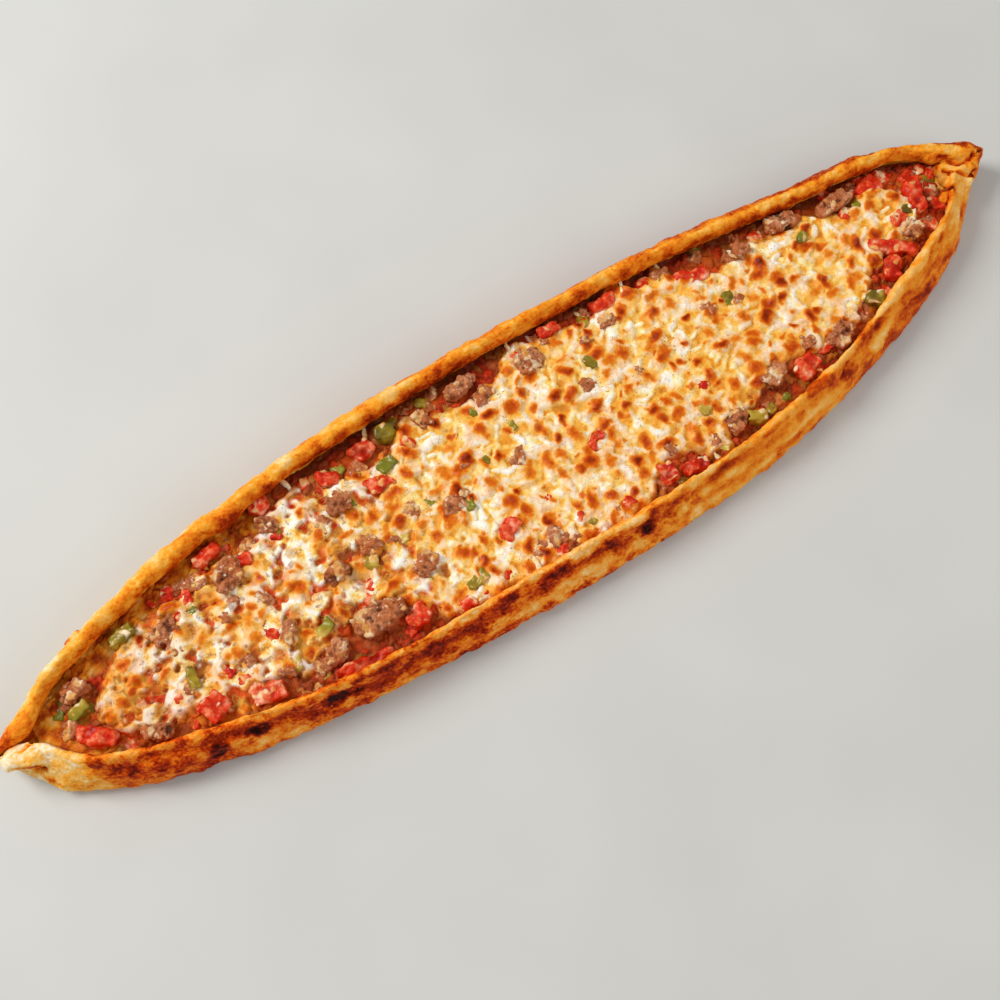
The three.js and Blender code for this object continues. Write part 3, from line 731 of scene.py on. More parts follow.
redder = add("ValToRGB", depth, stops=[
    (0.0, "fff0dc"), (0.12, "ffdcae"), (0.24, "ffbe60"), (0.36, "fda034"), (0.48, "f27a12"),
    (0.6, "cc4004"), (0.7, "942002"), (0.8, "601001"), (0.9, "320702"), (1.0, "120402"),
])
# the redder ramp is painted warm light bounced from the board onto the near rim
dough = add("Mix", carried["reddish"], golden, redder, data_type="RGBA")
# oil darkens the trough's lower walls with oil and painted shade
oiled_and_shaded = add("Math", carried["oil"], 0.65, operation="MULTIPLY")
dough = add("Mix", oiled_and_shaded, dough, "6c2004", data_type="RGBA")
rough = add("Math", coarse, 0.3, 0.38, operation="MULTIPLY_ADD")
rough = add("Math", carried["oil"], -0.25, rough, operation="MULTIPLY_ADD")
pits = add("Math", fine, 0.5, coarse, operation="MULTIPLY_ADD")
bump = add("Bump", inputs={"Strength": 0.6, "Distance": 1.0 * MM, "Height": pits})
add("OutputMaterial", add("BsdfPrincipled", inputs={
    "Base Color": dough, "Roughness": rough, "IOR": 1.45, "Specular IOR Level": 0.08,
    "Subsurface Weight": 0.05, "Subsurface Radius": (1.0, 0.5, 0.2), "Subsurface Scale": 1.0 * MM,
    "Normal": bump,
}))
finish_piece("crust_dough", crust_mesh, baked_dough, ["crust"])

# %% [markdown]
# ## A fine sheet over the trough
# The bed of sauce and the cheese are both sheets that fill the trough from rim to rim. Each starts
# as a flat grid whose two directions become the length and the width of the trough. The grid is
# extruded down to close it, and only its top is cut finer, so the hidden underside stays cheap.

# %% Grid over the trough
SHEET_CELLS = (160, 34)
TOP_CUTS = 3


def trough_sheet(overlap_mm):
    """A closed slab over the trough with a fine top, reaching overlap_mm under each rim.

    Returns its mesh, the X and Y of its vertices in mm and which of them are on top.
    """
    form = bmesh.new()
    bmesh.ops.create_grid(form, x_segments=SHEET_CELLS[0], y_segments=SHEET_CELLS[1], size=1.0)
    raised = bmesh.ops.extrude_face_region(form, geom=list(form.faces))["geom"]
    top_faces = [item for item in raised if isinstance(item, bmesh.types.BMFace)]
    top_verts = [item for item in raised if isinstance(item, bmesh.types.BMVert)]
    bmesh.ops.translate(form, verts=top_verts, vec=(0, 0, 1))
    top_edges = list({edge for face in top_faces for edge in face.edges})
    bmesh.ops.subdivide_edges(form, edges=top_edges, cuts=TOP_CUTS, use_grid_fill=True)
    bmesh.ops.recalc_face_normals(form, faces=form.faces)
    mesh = as_mesh(form, "sheet")
    along, across, level = vertex_numbers(mesh, "co").T
    place_x = bed_x[0] + (bed_x[-1] - bed_x[0]) * (along + 1) / 2
    near = np.interp(place_x, bed_x, bed_near) - overlap_mm
    far = np.interp(place_x, bed_x, bed_far) + overlap_mm
    return mesh, place_x, near + (far - near) * (across + 1) / 2, level > 0.5


print("trough", round(float((bed_far - bed_near).max()), 1), "mm wide at most")

# %% [markdown]
# ## The bed of diced filling
# Under and beside the cheese lies a wet mixture of small diced tomato, meat, onion and pepper in
# oily juice. It is too fine to be separate pieces, so it is one surface of cobbles: every point
# belongs to the nearest of some three thousand seeds, stands higher near the seed than at the
# border, and takes the colour of that seed's kind.

# %% Seeds of the diced pieces
DICE_SPACING = 4.2
DICE_KINDS = (("tomato", 0.40), ("meat", 0.30), ("onion", 0.08), ("pepper", 0.07), ("juice", 0.15))
JUICE = len(DICE_KINDS) - 1   # the last kind's number
MORE_TOMATO_FROM = 188        # towards the right end, in mm


def jittered(spacing, seed):
    """Random places over the trough, about spacing mm apart."""
    draw = random.Random(seed)
    shift = 0.45 * spacing
    return np.array([(gx + draw.uniform(-shift, shift), gy + draw.uniform(-shift, shift))
                     for gx in np.arange(bed_x[0] - 6, bed_x[-1] + 6, spacing)
                     for gy in np.arange(-54.0, 56.0, spacing)])


def nearest(places, points_xy, count):
    """For each point, the numbers of the count nearest places and their distances."""
    tree = kdtree.KDTree(len(places))
    for i, (px, py) in enumerate(places):
        tree.insert((px, py, 0), i)
    tree.balance()
    found = [tree.find_n((px, py, 0), count) for px, py in points_xy]
    index = np.array([[hit[1] for hit in hits] for hits in found])
    distance = np.array([[hit[2] for hit in hits] for hits in found])
    return index, distance


dice = jittered(DICE_SPACING, 7)
dice_draw = random.Random(8)
shares = [share for _, share in DICE_KINDS]
dice_kind = np.array([dice_draw.choices(range(len(shares)), shares)[0] for _ in dice])
dice_kind[(dice[:, 0] > MORE_TOMATO_FROM) & (np.arange(len(dice)) % 3 > 0)] = 0
dice_height = np.array([dice_draw.uniform(0.2, 2.4) for _ in dice])
dice_height[dice_kind == JUICE] *= 0.2
dice_tone = np.array([dice_draw.random() for _ in dice])
print(len(dice), "diced pieces")

# %% Bed surface
UNDERSIDE_MM = 6.0            # the bed's hidden underside, which rises towards its ends
UNDERSIDE_RISE_MM = 4.4
BED_SWELLS = ((12.0, 0.5), (1.6, 0.25))        # size and height, mm
BARE_LEFT, BARE_RIGHT = (-229, -241), (229, 238)       # where the dice end in bare dough, mm
BORDER_MM = 0.8               # how soon a cobble rises from its border


def bed_surface(place_x, place_y):
    """Level of the bed in mm, the number of the piece there and how far its border is."""
    flat = np.column_stack([place_x, place_y, np.zeros(len(place_x))])
    warped = flat[:, :2] + 1.5 * wobble(flat, 4.0, 1, 2) + 0.6 * wobble(flat, 1.6, 5, 6)
    index, distance = nearest(dice, warped, 2)
    border = distance[:, 1] - distance[:, 0]
    cobble = dice_height[index[:, 0]] * (1 - np.exp(-border / BORDER_MM))
    bare = np.maximum(step(*BARE_LEFT, place_x), step(*BARE_RIGHT, place_x))
    level = BED_TOP - 1.0 + cobble * (1 - 0.85 * bare) + 1.6 * bare + layered(flat, BED_SWELLS, 3)
    return level, index[:, 0], border


bed_mesh, bx, by, is_top = trough_sheet(1.4)
bz, bed_index, bed_border = bed_surface(bx, by)
underside = UNDERSIDE_MM + UNDERSIDE_RISE_MM * step(196, 232, np.abs(bx))
set_points(bed_mesh, np.column_stack([bx, by, np.where(is_top, bz, underside)]))
print("bed", len(bx), "vertices")

# %% What the bed's vertices carry
FAR_SHADE, NEAR_SHADE = (5.0, 1.0), (2.5, 0.5)                 # from each rim, mm
FAR_SHADE_WHOLE = (-130, -90)                  # it is weaker to the left of this, mm
STAIN_SIZE_MM, STAIN_MM = 6.0, 8.0             # how ragged the bare dough's edge is
BARE_ENDS = ((-216, -234), (228, 238))         # where bare dough shows at the ends, mm
# bare dough beside a rim to the left: mm from the rim, mm along X, share of stain, strength
BARE_FAR, BARE_NEAR = ((13, 8), (-105, -120), 0.6, 1.0), ((7, 4), (-140, -165), 0.5, 0.7)
JUICE_MM = 0.9                # how soon the dark juice and painted shade fade from a border

from_far = np.interp(bx, bed_x, bed_far) - by
from_near = by - np.interp(bx, bed_x, bed_near)
# shade is painted shade on the bed along each rim, where the lip hangs over it
shade = step(*FAR_SHADE, from_far) * blend((0.25, 1.0), step(*FAR_SHADE_WHOLE, bx))
shade += 0.5 * step(*NEAR_SHADE, from_near)
stain = STAIN_MM * bumps(np.column_stack([bx, by, bz]), STAIN_SIZE_MM, 9)
bare_end = np.maximum(*(step(*ends, bx + stain) for ends in BARE_ENDS))
for margin, (beside, along, ragged, strength) in ((from_far, BARE_FAR), (from_near, BARE_NEAR)):
    bare_end += strength * step(*beside, margin + ragged * stain) * step(*along, bx)
carry(bed_mesh, kind=dice_kind[bed_index] / JUICE, tone=dice_tone[bed_index],
      juice=np.exp(-bed_border / JUICE_MM), shade=np.clip(shade, 0, 1),
      bare_end=np.clip(bare_end, 0, 1))
print("bare dough on", round(100 * float((bare_end > 0.5).mean())), "% of the bed")

# %% [markdown]
# ### Saucy bed
# Cooked tomato juice and oil make every piece wet: roughness about 0.25 and a water-like IOR of
# 1.36. The colour steps from kind to kind, and the juice between the pieces is a dark red-brown,
# darkened further there as painted shade. Juice, oil, bare dough and painted shade under the rims
# lie over the pieces like films, so one helper lays films over a colour.

# %% Bed material
KIND_COLOURS = [(0.0, "d02a08"), (0.2, "98522a"), (0.45, "eba04a"), (0.7, "94801c"), (0.95, "b4400c")]


def lay_over(add, colour, *films):
    """Lays films over a colour. Each is where it lies, how strong it is there, and its colour."""
    for where, strength, film in films:
        cover = where if strength == 1 else add("Math", where, strength, operation="MULTIPLY")
        colour = add("Mix", cover, colour, film, data_type="RGBA")
    return colour


def piece_colour(add, place):
    """The colour of the diced piece at each place, mottled as chopped food is, and the mottling."""
    kind, tone = (add("Attribute", output="Fac", attribute_name=name) for name in ("kind", "tone"))
    mottle = add("TexNoise", place, lumps(1.0), 5.0, 0.7)
    light = add("Math", mottle, 3.0, -1.59, operation="MULTIPLY_ADD", use_clamp=True)
    dark = add("Math", mottle, -4.0, 1.88, operation="MULTIPLY_ADD", use_clamp=True)
    colour = add("ValToRGB", kind, stops=KIND_COLOURS, between="CONSTANT")
    colour = lay_over(add, colour, (tone, 0.4, "e0752c"), (light, 1, "f0a868"), (dark, 1, "3c0a02"))
    return colour, mottle


saucy_bed, add = new_material("tomato_juice_and_dice")
place = add("TexCoord", output="Object")
carried = {name: add("Attribute", output="Fac", attribute_name=name)
           for name in ("juice", "bare_end", "shade")}
chopped, mottle = piece_colour(add, place)
pools = add("TexNoise", place, lumps(9.0), 2.0, 0.55)
pools = add("ValToRGB", pools, stops=[(0.5, "000000"), (0.62, "ffffff")])
oily_dough = add("ValToRGB", add("TexNoise", place, lumps(3.5), 4.0, 0.55), stops=[
    (0.34, "982e04"), (0.43, "c65808"), (0.51, "e68412"), (0.59, "f4a62c"), (0.7, "f9c870"),
])
colour = lay_over(
    add, chopped,
    (carried["juice"], 0.9, "460900"),         # dark juice and painted shade between the pieces
    (0.3, 1, "bc340a"),                        # thin juice over them all
    (pools, 0.45, "d8600f"),                   # pools of orange oil
    (carried["bare_end"], 0.9, oily_dough),    # bare dough at the ends and beside the rims
    (carried["shade"], 0.7, "3a1002"),         # painted shade under the rims
)
bump = add("Bump", inputs={"Strength": 0.8, "Distance": 1.0 * MM, "Height": mottle})
add("OutputMaterial", add("BsdfPrincipled", inputs={
    "Base Color": colour, "Roughness": 0.26, "IOR": 1.36, "Specular IOR Level": 0.22, "Normal": bump,
}))
finish_piece("filling_bed", bed_mesh, saucy_bed, ["filling"])

# %% [markdown]
# ## The cheese
# Grated cheese melts into one sheet, but the shreds still show as short soft ridges with oil
# between them. It drapes over the diced pieces, thins out where it ran and blisters in the heat.
# The sheet covers the whole trough here, and where no cheese lies it dips under the bed, so its
# ragged edge and its holes come from the two surfaces crossing, as thin cheese really meets what
# is under it. Each shred is a capsule, and each blister a small dome, with its own size and turn.

# %% Shreds and blisters
RIGHT_PART = (-90, -40)       # where the right part's thicker cheese begins and is whole, in mm
LEFT_PART = (-40, -90)        # and the left part's, going the other way
MARKS_NEAR = 6                # how many marks can reach one place
BLISTERED = (0.5, 0.87)       # share of blisters kept in the left and in the right part
BLISTER_FORCE = (0.8, 1.0)    # and how strong they are there
SMALL_KEPT = 0.22             # share of the small ones
LIFTED = (1.0, 0.55)          # how much of its lift a hidden piece gives the cheese there


def draw_marks(spacing, seed, kinds):
    """Random marks over the trough: x, y, turn, and one drawn number for each range in kinds."""
    draw = random.Random(seed)
    return np.array([(px, py, draw.uniform(0, math.pi), *(draw.uniform(*kind) for kind in kinds))
                     for px, py in jittered(spacing, seed)])


def seen_from(marks, index, places_xy):
    """Each place in the turned frame of one of its marks."""
    dx = places_xy[:, 0] - marks[index, 0]
    dy = places_xy[:, 1] - marks[index, 1]
    cos, sin = np.cos(marks[index, 2]), np.sin(marks[index, 2])
    return dx * cos + dy * sin, dy * cos - dx * sin


# half length, half width and height in mm
shreds = draw_marks(4.8, 71, ((1.2, 4.4), (1.0, 2.1), (0.2, 1.05)))
# radius in mm, stretch, strength
blisters = draw_marks(8.6, 23, ((2.3, 4.9), (1.0, 1.9), (0.42, 1.0)))
small_blisters = draw_marks(5.4, 27, ((1.2, 2.2), (1.0, 1.9), (0.3, 0.6)))
# radius and lift in mm, share of cover lost
hidden = draw_marks(12.0, 31, ((4.0, 7.0), (0.0, 2.4), (0.0, 1.0)))
blister_draw = random.Random(24)
right_part = step(*RIGHT_PART, blisters[:, 0])
kept = np.array([blister_draw.random() for _ in blisters]) < blend(BLISTERED, right_part)
blisters[:, 5] *= kept * blend(BLISTER_FORCE, right_part)
small_blisters[:, 5] *= np.array([blister_draw.random() for _ in small_blisters]) < SMALL_KEPT
hidden[:, 4] *= blend(LIFTED, step(*RIGHT_PART, hidden[:, 0]))
all_blisters = np.vstack([blisters, small_blisters])


def shred_height(places_xy):
    """How high the highest shred at each place is, in mm."""
    index, _ = nearest(shreds[:, :2], places_xy, MARKS_NEAR)
    height = np.zeros(len(places_xy))
    for i in index.T:
        u, v = seen_from(shreds, i, places_xy)
        past = np.maximum(np.abs(u) - shreds[i, 3], 0)
        rise = np.sqrt(np.clip(1 - (past ** 2 + v ** 2) / shreds[i, 4] ** 2, 0, 1))
        height = np.maximum(height, shreds[i, 5] * rise)
    return height


def blister_field(places_xy):
    """How browned, how raised and how oily each place is."""
    index, _ = nearest(all_blisters[:, :2], places_xy, MARKS_NEAR)
    brown, dome, ring = np.zeros((3, len(places_xy)))
    for i in index.T:
        u, v = seen_from(all_blisters, i, places_xy)
        radius, stretch, force = all_blisters[i, 3:].T
        reach = np.hypot(u / np.sqrt(stretch), v * np.sqrt(stretch)) / radius
        rise = np.sqrt(np.clip(1 - (reach / 1.1) ** 2, 0, 1))
        brown = np.maximum(brown, force * step(1.25, 0.1, reach))
        dome = np.maximum(dome, force * rise * radius / 3)
        ring = np.maximum(ring, (force > 0) * step(2.3, 0.9, reach))
    return brown, dome, ring


print(len(shreds), "shreds,", int((all_blisters[:, 5] > 0).sum()), "blisters")

# %% Cheese surface
EDGE_RAGS = ((7.0, 2.6), (2.8, 1.4))           # size and depth, mm
CHEESE_SWELLS = ((5.0, 0.3), (1.8, 0.2))       # size and height, mm
GAP_SIZES = ((9.0, 1.0), (3.4, 0.6))           # size in mm and strength
# each pair is for the left part and for the right part
SHEET_MM = (1.9, 3.2)         # thickness
DIP_MM = (0.0, 0.9)           # how far the sheet lies under the bed before anything is added
SHREDS_SHOWN = (0.55, 1.1)    # of their height
GAP_MM = (2.4, 0.9)           # how far the sheet dips in a gap
BARED_MM = (1.7, 0.6)         # and over a hidden piece that lost its cover
PAST_EDGE_MM = 2.4            # and past its own edge
COVERED, PAST_EDGE, BLISTERS_FROM = (-2.0, 5.0), (1.0, -4.0), (-1.0, 1.5)      # inside the edge, mm
DOME_HEIGHT = 0.95            # of a blister, as a share of its dome
RUN_MM = 5.0
CHEESE_RUNS = (
    # places where the cheese runs up to a rim: side, from and to along X, mm
    (-1, -72, 34), (-1, 62, 76), (1, 10, 21), (1, 68, 77), (1, 92, 96), (-1, -168, -162),
)


def from_edge(place_x, place_y):
    """How far inside the edge of the cheese each place is, in mm."""
    run = {side: np.zeros(len(place_x)) for side in (-1, 1)}
    for side, start, end in CHEESE_RUNS:
        reach = step(start - 3, start + 3, place_x) * step(end + 3, end - 3, place_x)
        run[side] = np.maximum(run[side], RUN_MM * reach)
    from_near = place_y - np.interp(place_x, cheese_x, cheese_near) + run[-1]
    from_far = np.interp(place_x, cheese_x, cheese_far) - place_y + run[1]
    from_ends = np.minimum(place_x - cheese_x[0], cheese_x[-1] - place_x)
    return np.minimum(np.minimum(from_near, from_far), from_ends)


def cheese_surface(place_x, place_y):
    """Level of the cheese in mm, and its thickness, shreds, browning and oil."""
    flat = np.column_stack([place_x, place_y, np.zeros(len(place_x))])
    warped = flat[:, :2] + 1.1 * wobble(flat, 5.0, 45, 46)
    inset = from_edge(place_x, place_y) + layered(flat, EDGE_RAGS, 41)
    right = step(*RIGHT_PART, place_x)
    shred = shred_height(warped)
    cover = step(*COVERED, inset)
    thick = blend(SHEET_MM, right) * cover + blend(SHREDS_SHOWN, right) * shred
    thick -= blend(DIP_MM, right) + PAST_EDGE_MM * step(*PAST_EDGE, inset)
    thick -= blend(GAP_MM, right) * step(0.1, 0.8, layered(flat, GAP_SIZES, 43))
    index, distance = nearest(hidden[:, :2], flat[:, :2], 2)
    lift, bare = np.zeros((2, len(place_x)))
    for i, away in zip(index.T, distance.T):
        bulge = np.exp(-(away / hidden[i, 3]) ** 2)
        lift += hidden[i, 4] * bulge
        bare = np.maximum(bare, hidden[i, 5] * step(0.35, 0.9, bulge))
    thick -= blend(BARED_MM, right) * bare
    blistered = blister_field(warped + 0.5 * wobble(flat, 2.0, 49, 50))
    brown, dome, ring = (value * step(*BLISTERS_FROM, inset) for value in blistered)
    level = BED_TOP + 0.2 + thick + lift * cover + DOME_HEIGHT * dome
    level += layered(flat, CHEESE_SWELLS, 47)
    return level, thick, shred, brown, ring


CHEESE_UNDERSIDE_MM = 10.8
THINNEST_MM = 0.4
THICKEST_MM = 3.2
TOASTED = (-150, -200)        # towards the left end the cheese is toasted, from and to, mm

cheese_mesh, cx, cy, is_top = trough_sheet(1.2)
cz, thick, shred, brown, ring = cheese_surface(cx, cy)
_, under_index, _ = bed_surface(cx, cy)
underside = np.minimum(CHEESE_UNDERSIDE_MM, cz - THINNEST_MM)
set_points(cheese_mesh, np.column_stack([cx, cy, np.where(is_top, cz, underside)]))
carry(cheese_mesh, blister=brown, ring=ring, thick=np.clip(thick / THICKEST_MM, 0, 1), shred=shred,
      kind=dice_kind[under_index] / JUICE, tone=dice_tone[under_index],
      left=step(*LEFT_PART, cx), toasted=step(*TOASTED, cx))
print("cheese", len(cx), "vertices")

# %% [markdown]
# ### Melted cheese
# Melted cheese is a white gel of fat and protein: milky, so light goes a millimetre or two into
# it, with a wet oily gloss. The tops of the shreds stay cream-white, the oil between them is
# golden, and where the sheet is thin the pieces under it show through. Blisters brown from gold at
# the rim to red-brown in the middle.

# %% Cheese material
melted_cheese, add = new_material("melted_cheese")
place = add("TexCoord", output="Object")
carried = {name: add("Attribute", output="Fac", attribute_name=name)
           for name in ("thick", "shred", "left", "ring", "toasted", "blister")}
fine = add("TexNoise", place, lumps(0.8), 4.0, 0.6)
clots = add("TexNoise", place, lumps(2.4), 4.0, 0.6)
swirl = add("TexNoise", place, lumps(8.0), 3.0, 0.55)

cream = -1.475                # what the noises add on average is taken off first
for part, share in ((carried["thick"], 0.32), (carried["shred"], 0.55), (clots, 1.35), (swirl, 1.6)):
    cream = add("Math", part, share, cream, operation="MULTIPLY_ADD")
left_specks = add("Math", fine, 0.9, -0.32, operation="MULTIPLY_ADD")
cream = add("Math", carried["left"], left_specks, cream, operation="MULTIPLY_ADD", use_clamp=True)
milk = add("ValToRGB", cream, stops=[
    (0.0, "e8942a"), (0.12, "f6b444"), (0.24, "fdcd6a"), (0.36, "ffe092"), (0.48, "ffedb6"),
    (0.62, "fff6da"), (0.85, "fffcf2"),
])

chopped, _ = piece_colour(add, place)
sheer = add("Math", clots, -0.95, 1.653, operation="MULTIPLY_ADD")
sheer = add("Math", carried["thick"], -1.9, sheer, operation="MULTIPLY_ADD", use_clamp=True)
oil = add("Math", swirl, 1.5, operation="MULTIPLY")
oil = add("Math", carried["ring"], oil, operation="MULTIPLY", use_clamp=True)
veins = add("ValToRGB", add("TexNoise", place, lumps(4.2), 3.0, 0.6), stops=[
    (0.455, "000000"), (0.49, "ffffff"), (0.51, "ffffff"), (0.545, "000000"),
])
vein_strength = add("Math", carried["left"], -0.2, 0.42, operation="MULTIPLY_ADD")
# crevices between the clots are darkened with painted shade
crevice_shade = add("TexNoise", place, lumps(1.7), 2.0, 0.55)
crevice_shade = add("ValToRGB", crevice_shade, stops=[(0.34, "ffffff"), (0.42, "000000")])
crevice_shade_strength = add("Math", carried["left"], 0.4, 0.18, operation="MULTIPLY_ADD")
colour = lay_over(
    add, milk,
    (sheer, 1, chopped),                       # the pieces under it, where it is thin
    (oil, 0.6, "f6ae3c"),                      # golden oil round each blister
    (veins, vein_strength, "f0a03c"),          # veins of oil between the clots
    (crevice_shade, crevice_shade_strength, "944a16"),    # painted shade in the crevices
)
toasted = add("Math", carried["toasted"], 0.35, operation="MULTIPLY")
colour = add("Mix", toasted, colour, "dca878", data_type="RGBA", blend_type="MULTIPLY")

spot = add("Math", clots, 0.35, -0.4, operation="MULTIPLY_ADD")
spot = add("Math", fine, 0.45, spot, operation="MULTIPLY_ADD")
spot = add("Math", carried["blister"], spot, operation="ADD", use_clamp=True)
skin = add("ValToRGB", spot, stops=[
    (0.08, "fbc662"), (0.2, "f4a83e"), (0.34, "e98a22"), (0.5, "da6a10"), (0.66, "c44c06"),
    (0.82, "a03202"), (1.0, "721c00"),
])
skin_edge = add("ValToRGB", spot, stops=[(0.06, "000000"), (0.34, "ffffff")])
pepper_dust = add("TexNoise", place, lumps(0.5), 1.0, 0.55)
pepper_dust = add("ValToRGB", pepper_dust, stops=[(0.67, "000000"), (0.71, "ffffff")])
dusted = add("TexNoise", place, lumps(12.0), 3.0, 0.55)
dusted = add("Math", dusted, 2.6, -0.91, operation="MULTIPLY_ADD", use_clamp=True)
colour = lay_over(add, colour, (skin_edge, 1, skin), (pepper_dust, dusted, "54401e"))
relief = add("Math", fine, 0.5, clots, operation="MULTIPLY_ADD")
bump = add("Bump", inputs={"Strength": 0.55, "Distance": 0.9 * MM, "Height": relief})
add("OutputMaterial", add("BsdfPrincipled", inputs={
    "Base Color": colour, "Roughness": 0.3, "IOR": 1.42, "Specular IOR Level": 0.16,
    "Subsurface Weight": 0.10, "Subsurface Radius": (1.0, 0.7, 0.35), "Subsurface Scale": 1.2 * MM,
    "Normal": bump,
}))
finish_piece("cheese_sheet", cheese_mesh, melted_cheese, ["cheese"])

# %% [markdown]
# ## Diced meat, tomato and pepper
# The larger pieces stand out of the cheese, each where its solid is. A voxel remesh turns the flat
# cut blocks into even skins that noise can push about, and their undersides are pulled down into
# the bed so that no gap shows.

# %% Topping pieces
SINK_MM = 2.4
SMEAR_SIZES = ((6.0, 1.0), (2.4, 0.7))         # size in mm and strength


def dress_topping(mesh, points, offset, melt_share):
    """What the shader reads: painted shade in hollows, and smears of melted cheese on top."""
    smear = layered(points, SMEAR_SIZES, 66)
    edge = 0.9 - 1.5 * melt_share
    facing_up = step(0.1, 0.6, vertex_numbers(mesh, "normal")[:, 2])
    carry(mesh, hollow=np.clip(-0.1 - offset, 0, 1), melt=step(edge, edge + 0.5, smear) * facing_up)


def topping(kind, voxel_mm, rounds, swells, melt_share):
    """All the solids of one kind, rounded, roughened and sunk into the bed."""
    names = sorted(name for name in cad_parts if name.startswith(kind + "_"))
    mesh = with_modifiers(
        copy_of_nodes(*names),
        ("REMESH", {"mode": "VOXEL", "voxel_size": voxel_mm * MM}),
        ("SMOOTH", {"factor": 0.5, "iterations": rounds}),
    )
    points = get_points(mesh)
    normals = vertex_numbers(mesh, "normal")
    offset = layered(points, swells, 60)
    dress_topping(mesh, points, offset, melt_share)
    sunk = SINK_MM * step(0.15, -0.5, normals[:, 2])
    set_points(mesh, points + normals * offset[:, None] - sunk[:, None] * [0, 0, 1])
    return mesh, names


meat_mesh, meat_names = topping("meat", 0.42, 4, ((4.2, 0.9), (2.0, 0.7), (1.0, 0.35)), 0.5)
tomato_mesh, tomato_names = topping("tomato", 0.5, 7, ((7.0, 1.0), (3.2, 0.7), (1.4, 0.25)), 0.24)
pepper_mesh, pepper_names = topping("pepper", 0.45, 5, ((5.0, 0.6), (2.5, 0.5)), 0.4)
print(len(meat_names), "meat,", len(tomato_names), "tomato,", len(pepper_names), "pepper")

# %% [markdown]
# ### Cooked meat
# Seared diced beef is grey-brown to red-brown with a wrinkled, fibrous surface, moist with fat.

# %% Meat material
def smeared(add, place, colour):
    """The colour with a film of melted cheese where the mesh carries one."""
    melt = add("Attribute", output="Fac", attribute_name="melt")
    ragged = add("Math", melt, 1.3, -1.04, operation="MULTIPLY_ADD")
    noise_here = add("TexNoise", place, lumps(1.6), 3.0, 0.55)
    ragged = add("Math", noise_here, 1.17, ragged, operation="MULTIPLY_ADD", use_clamp=True)
    inside = add("Math", melt, 3.0, operation="MULTIPLY", use_clamp=True)
    cheese = add("TexNoise", place, lumps(2.6), 4.0, 0.55)
    cheese = add("ValToRGB", cheese, stops=[(0.35, "e39a3e"), (0.5, "f3c684"), (0.65, "fdebca")])
    return lay_over(add, colour, (ragged, inside, cheese))


seared_meat, add = new_material("seared_diced_meat")
place = add("TexCoord", output="Object")
hollow = add("Attribute", output="Fac", attribute_name="hollow")
fibre = add("TexNoise", place, lumps(0.7), 5.0, 0.75)
patches = add("TexNoise", place, lumps(4.0), 3.0, 0.55)
tone = add("Math", patches, 0.4, operation="MULTIPLY")
tone = add("Math", fibre, 0.6, tone, operation="MULTIPLY_ADD")
lean = add("ValToRGB", tone, stops=[
    (0.3, "7a3418"), (0.4, "a0562e"), (0.5, "c27448"), (0.58, "d89064"), (0.68, "eab892"),
    (0.8, "f8dec6"),
])
oily = add("TexNoise", place, lumps(5.0), 3.0, 0.55)
oily = add("ValToRGB", oily, stops=[(0.48, "000000"), (0.62, "ffffff")])
fat = add("TexNoise", place, lumps(0.9), 3.0, 0.55)
fat = add("ValToRGB", fat, stops=[(0.62, "000000"), (0.68, "ffffff")])
# hollows are darkened with painted shade
colour = lay_over(add, lean, (oily, 0.5, "c4601c"), (fat, 0.8, "f4e0c8"), (hollow, 0.85, "48160a"))
bump = add("Bump", inputs={"Strength": 0.8, "Distance": 0.9 * MM, "Height": fibre})
add("OutputMaterial", add("BsdfPrincipled", inputs={
    "Base Color": smeared(add, place, colour), "Roughness": 0.3, "IOR": 1.4,
    "Specular IOR Level": 0.28, "Normal": bump,
}))
finish_piece("meat_dice", meat_mesh, seared_meat, meat_names)

# %% [markdown]
# ### Cooked tomato
# Soft tomato flesh is glossy and a little see-through, deep red at the skin and pinker inside.

# %% Tomato material
cooked_tomato, add = new_material("cooked_tomato_flesh")
place = add("TexCoord", output="Object")
hollow = add("Attribute", output="Fac", attribute_name="hollow")
flesh = add("TexNoise", place, lumps(2.2), 4.0, 0.6)
tone = add("Math", add("TexNoise", place, lumps(9.0), 1.0, 0.55), 0.25, operation="MULTIPLY")
tone = add("Math", flesh, 0.75, tone, operation="MULTIPLY_ADD")
red = add("ValToRGB", tone, stops=[
    (0.34, "a41406"), (0.42, "c6220a"), (0.49, "da3612"), (0.55, "e65a30"), (0.61, "ef8660"),
    (0.7, "f9c8ac"),
])
# hollows are darkened with painted shade
colour = lay_over(add, red, (hollow, 0.6, "8c1606"))
bump = add("Bump", inputs={"Strength": 0.7, "Distance": 1.0 * MM, "Height": flesh})
add("OutputMaterial", add("BsdfPrincipled", inputs={
    "Base Color": smeared(add, place, colour), "Roughness": 0.3, "IOR": 1.36,
    "Specular IOR Level": 0.3, "Subsurface Weight": 0.15, "Subsurface Radius": (1.0, 0.25, 0.1),
    "Subsurface Scale": 1.5 * MM, "Normal": bump,
}))
finish_piece("tomato_dice", tomato_mesh, cooked_tomato, tomato_names)

# %% [markdown]
# ### Green pepper
# Cooked pepper turns from green to olive and yellow, and its skin stays waxy.

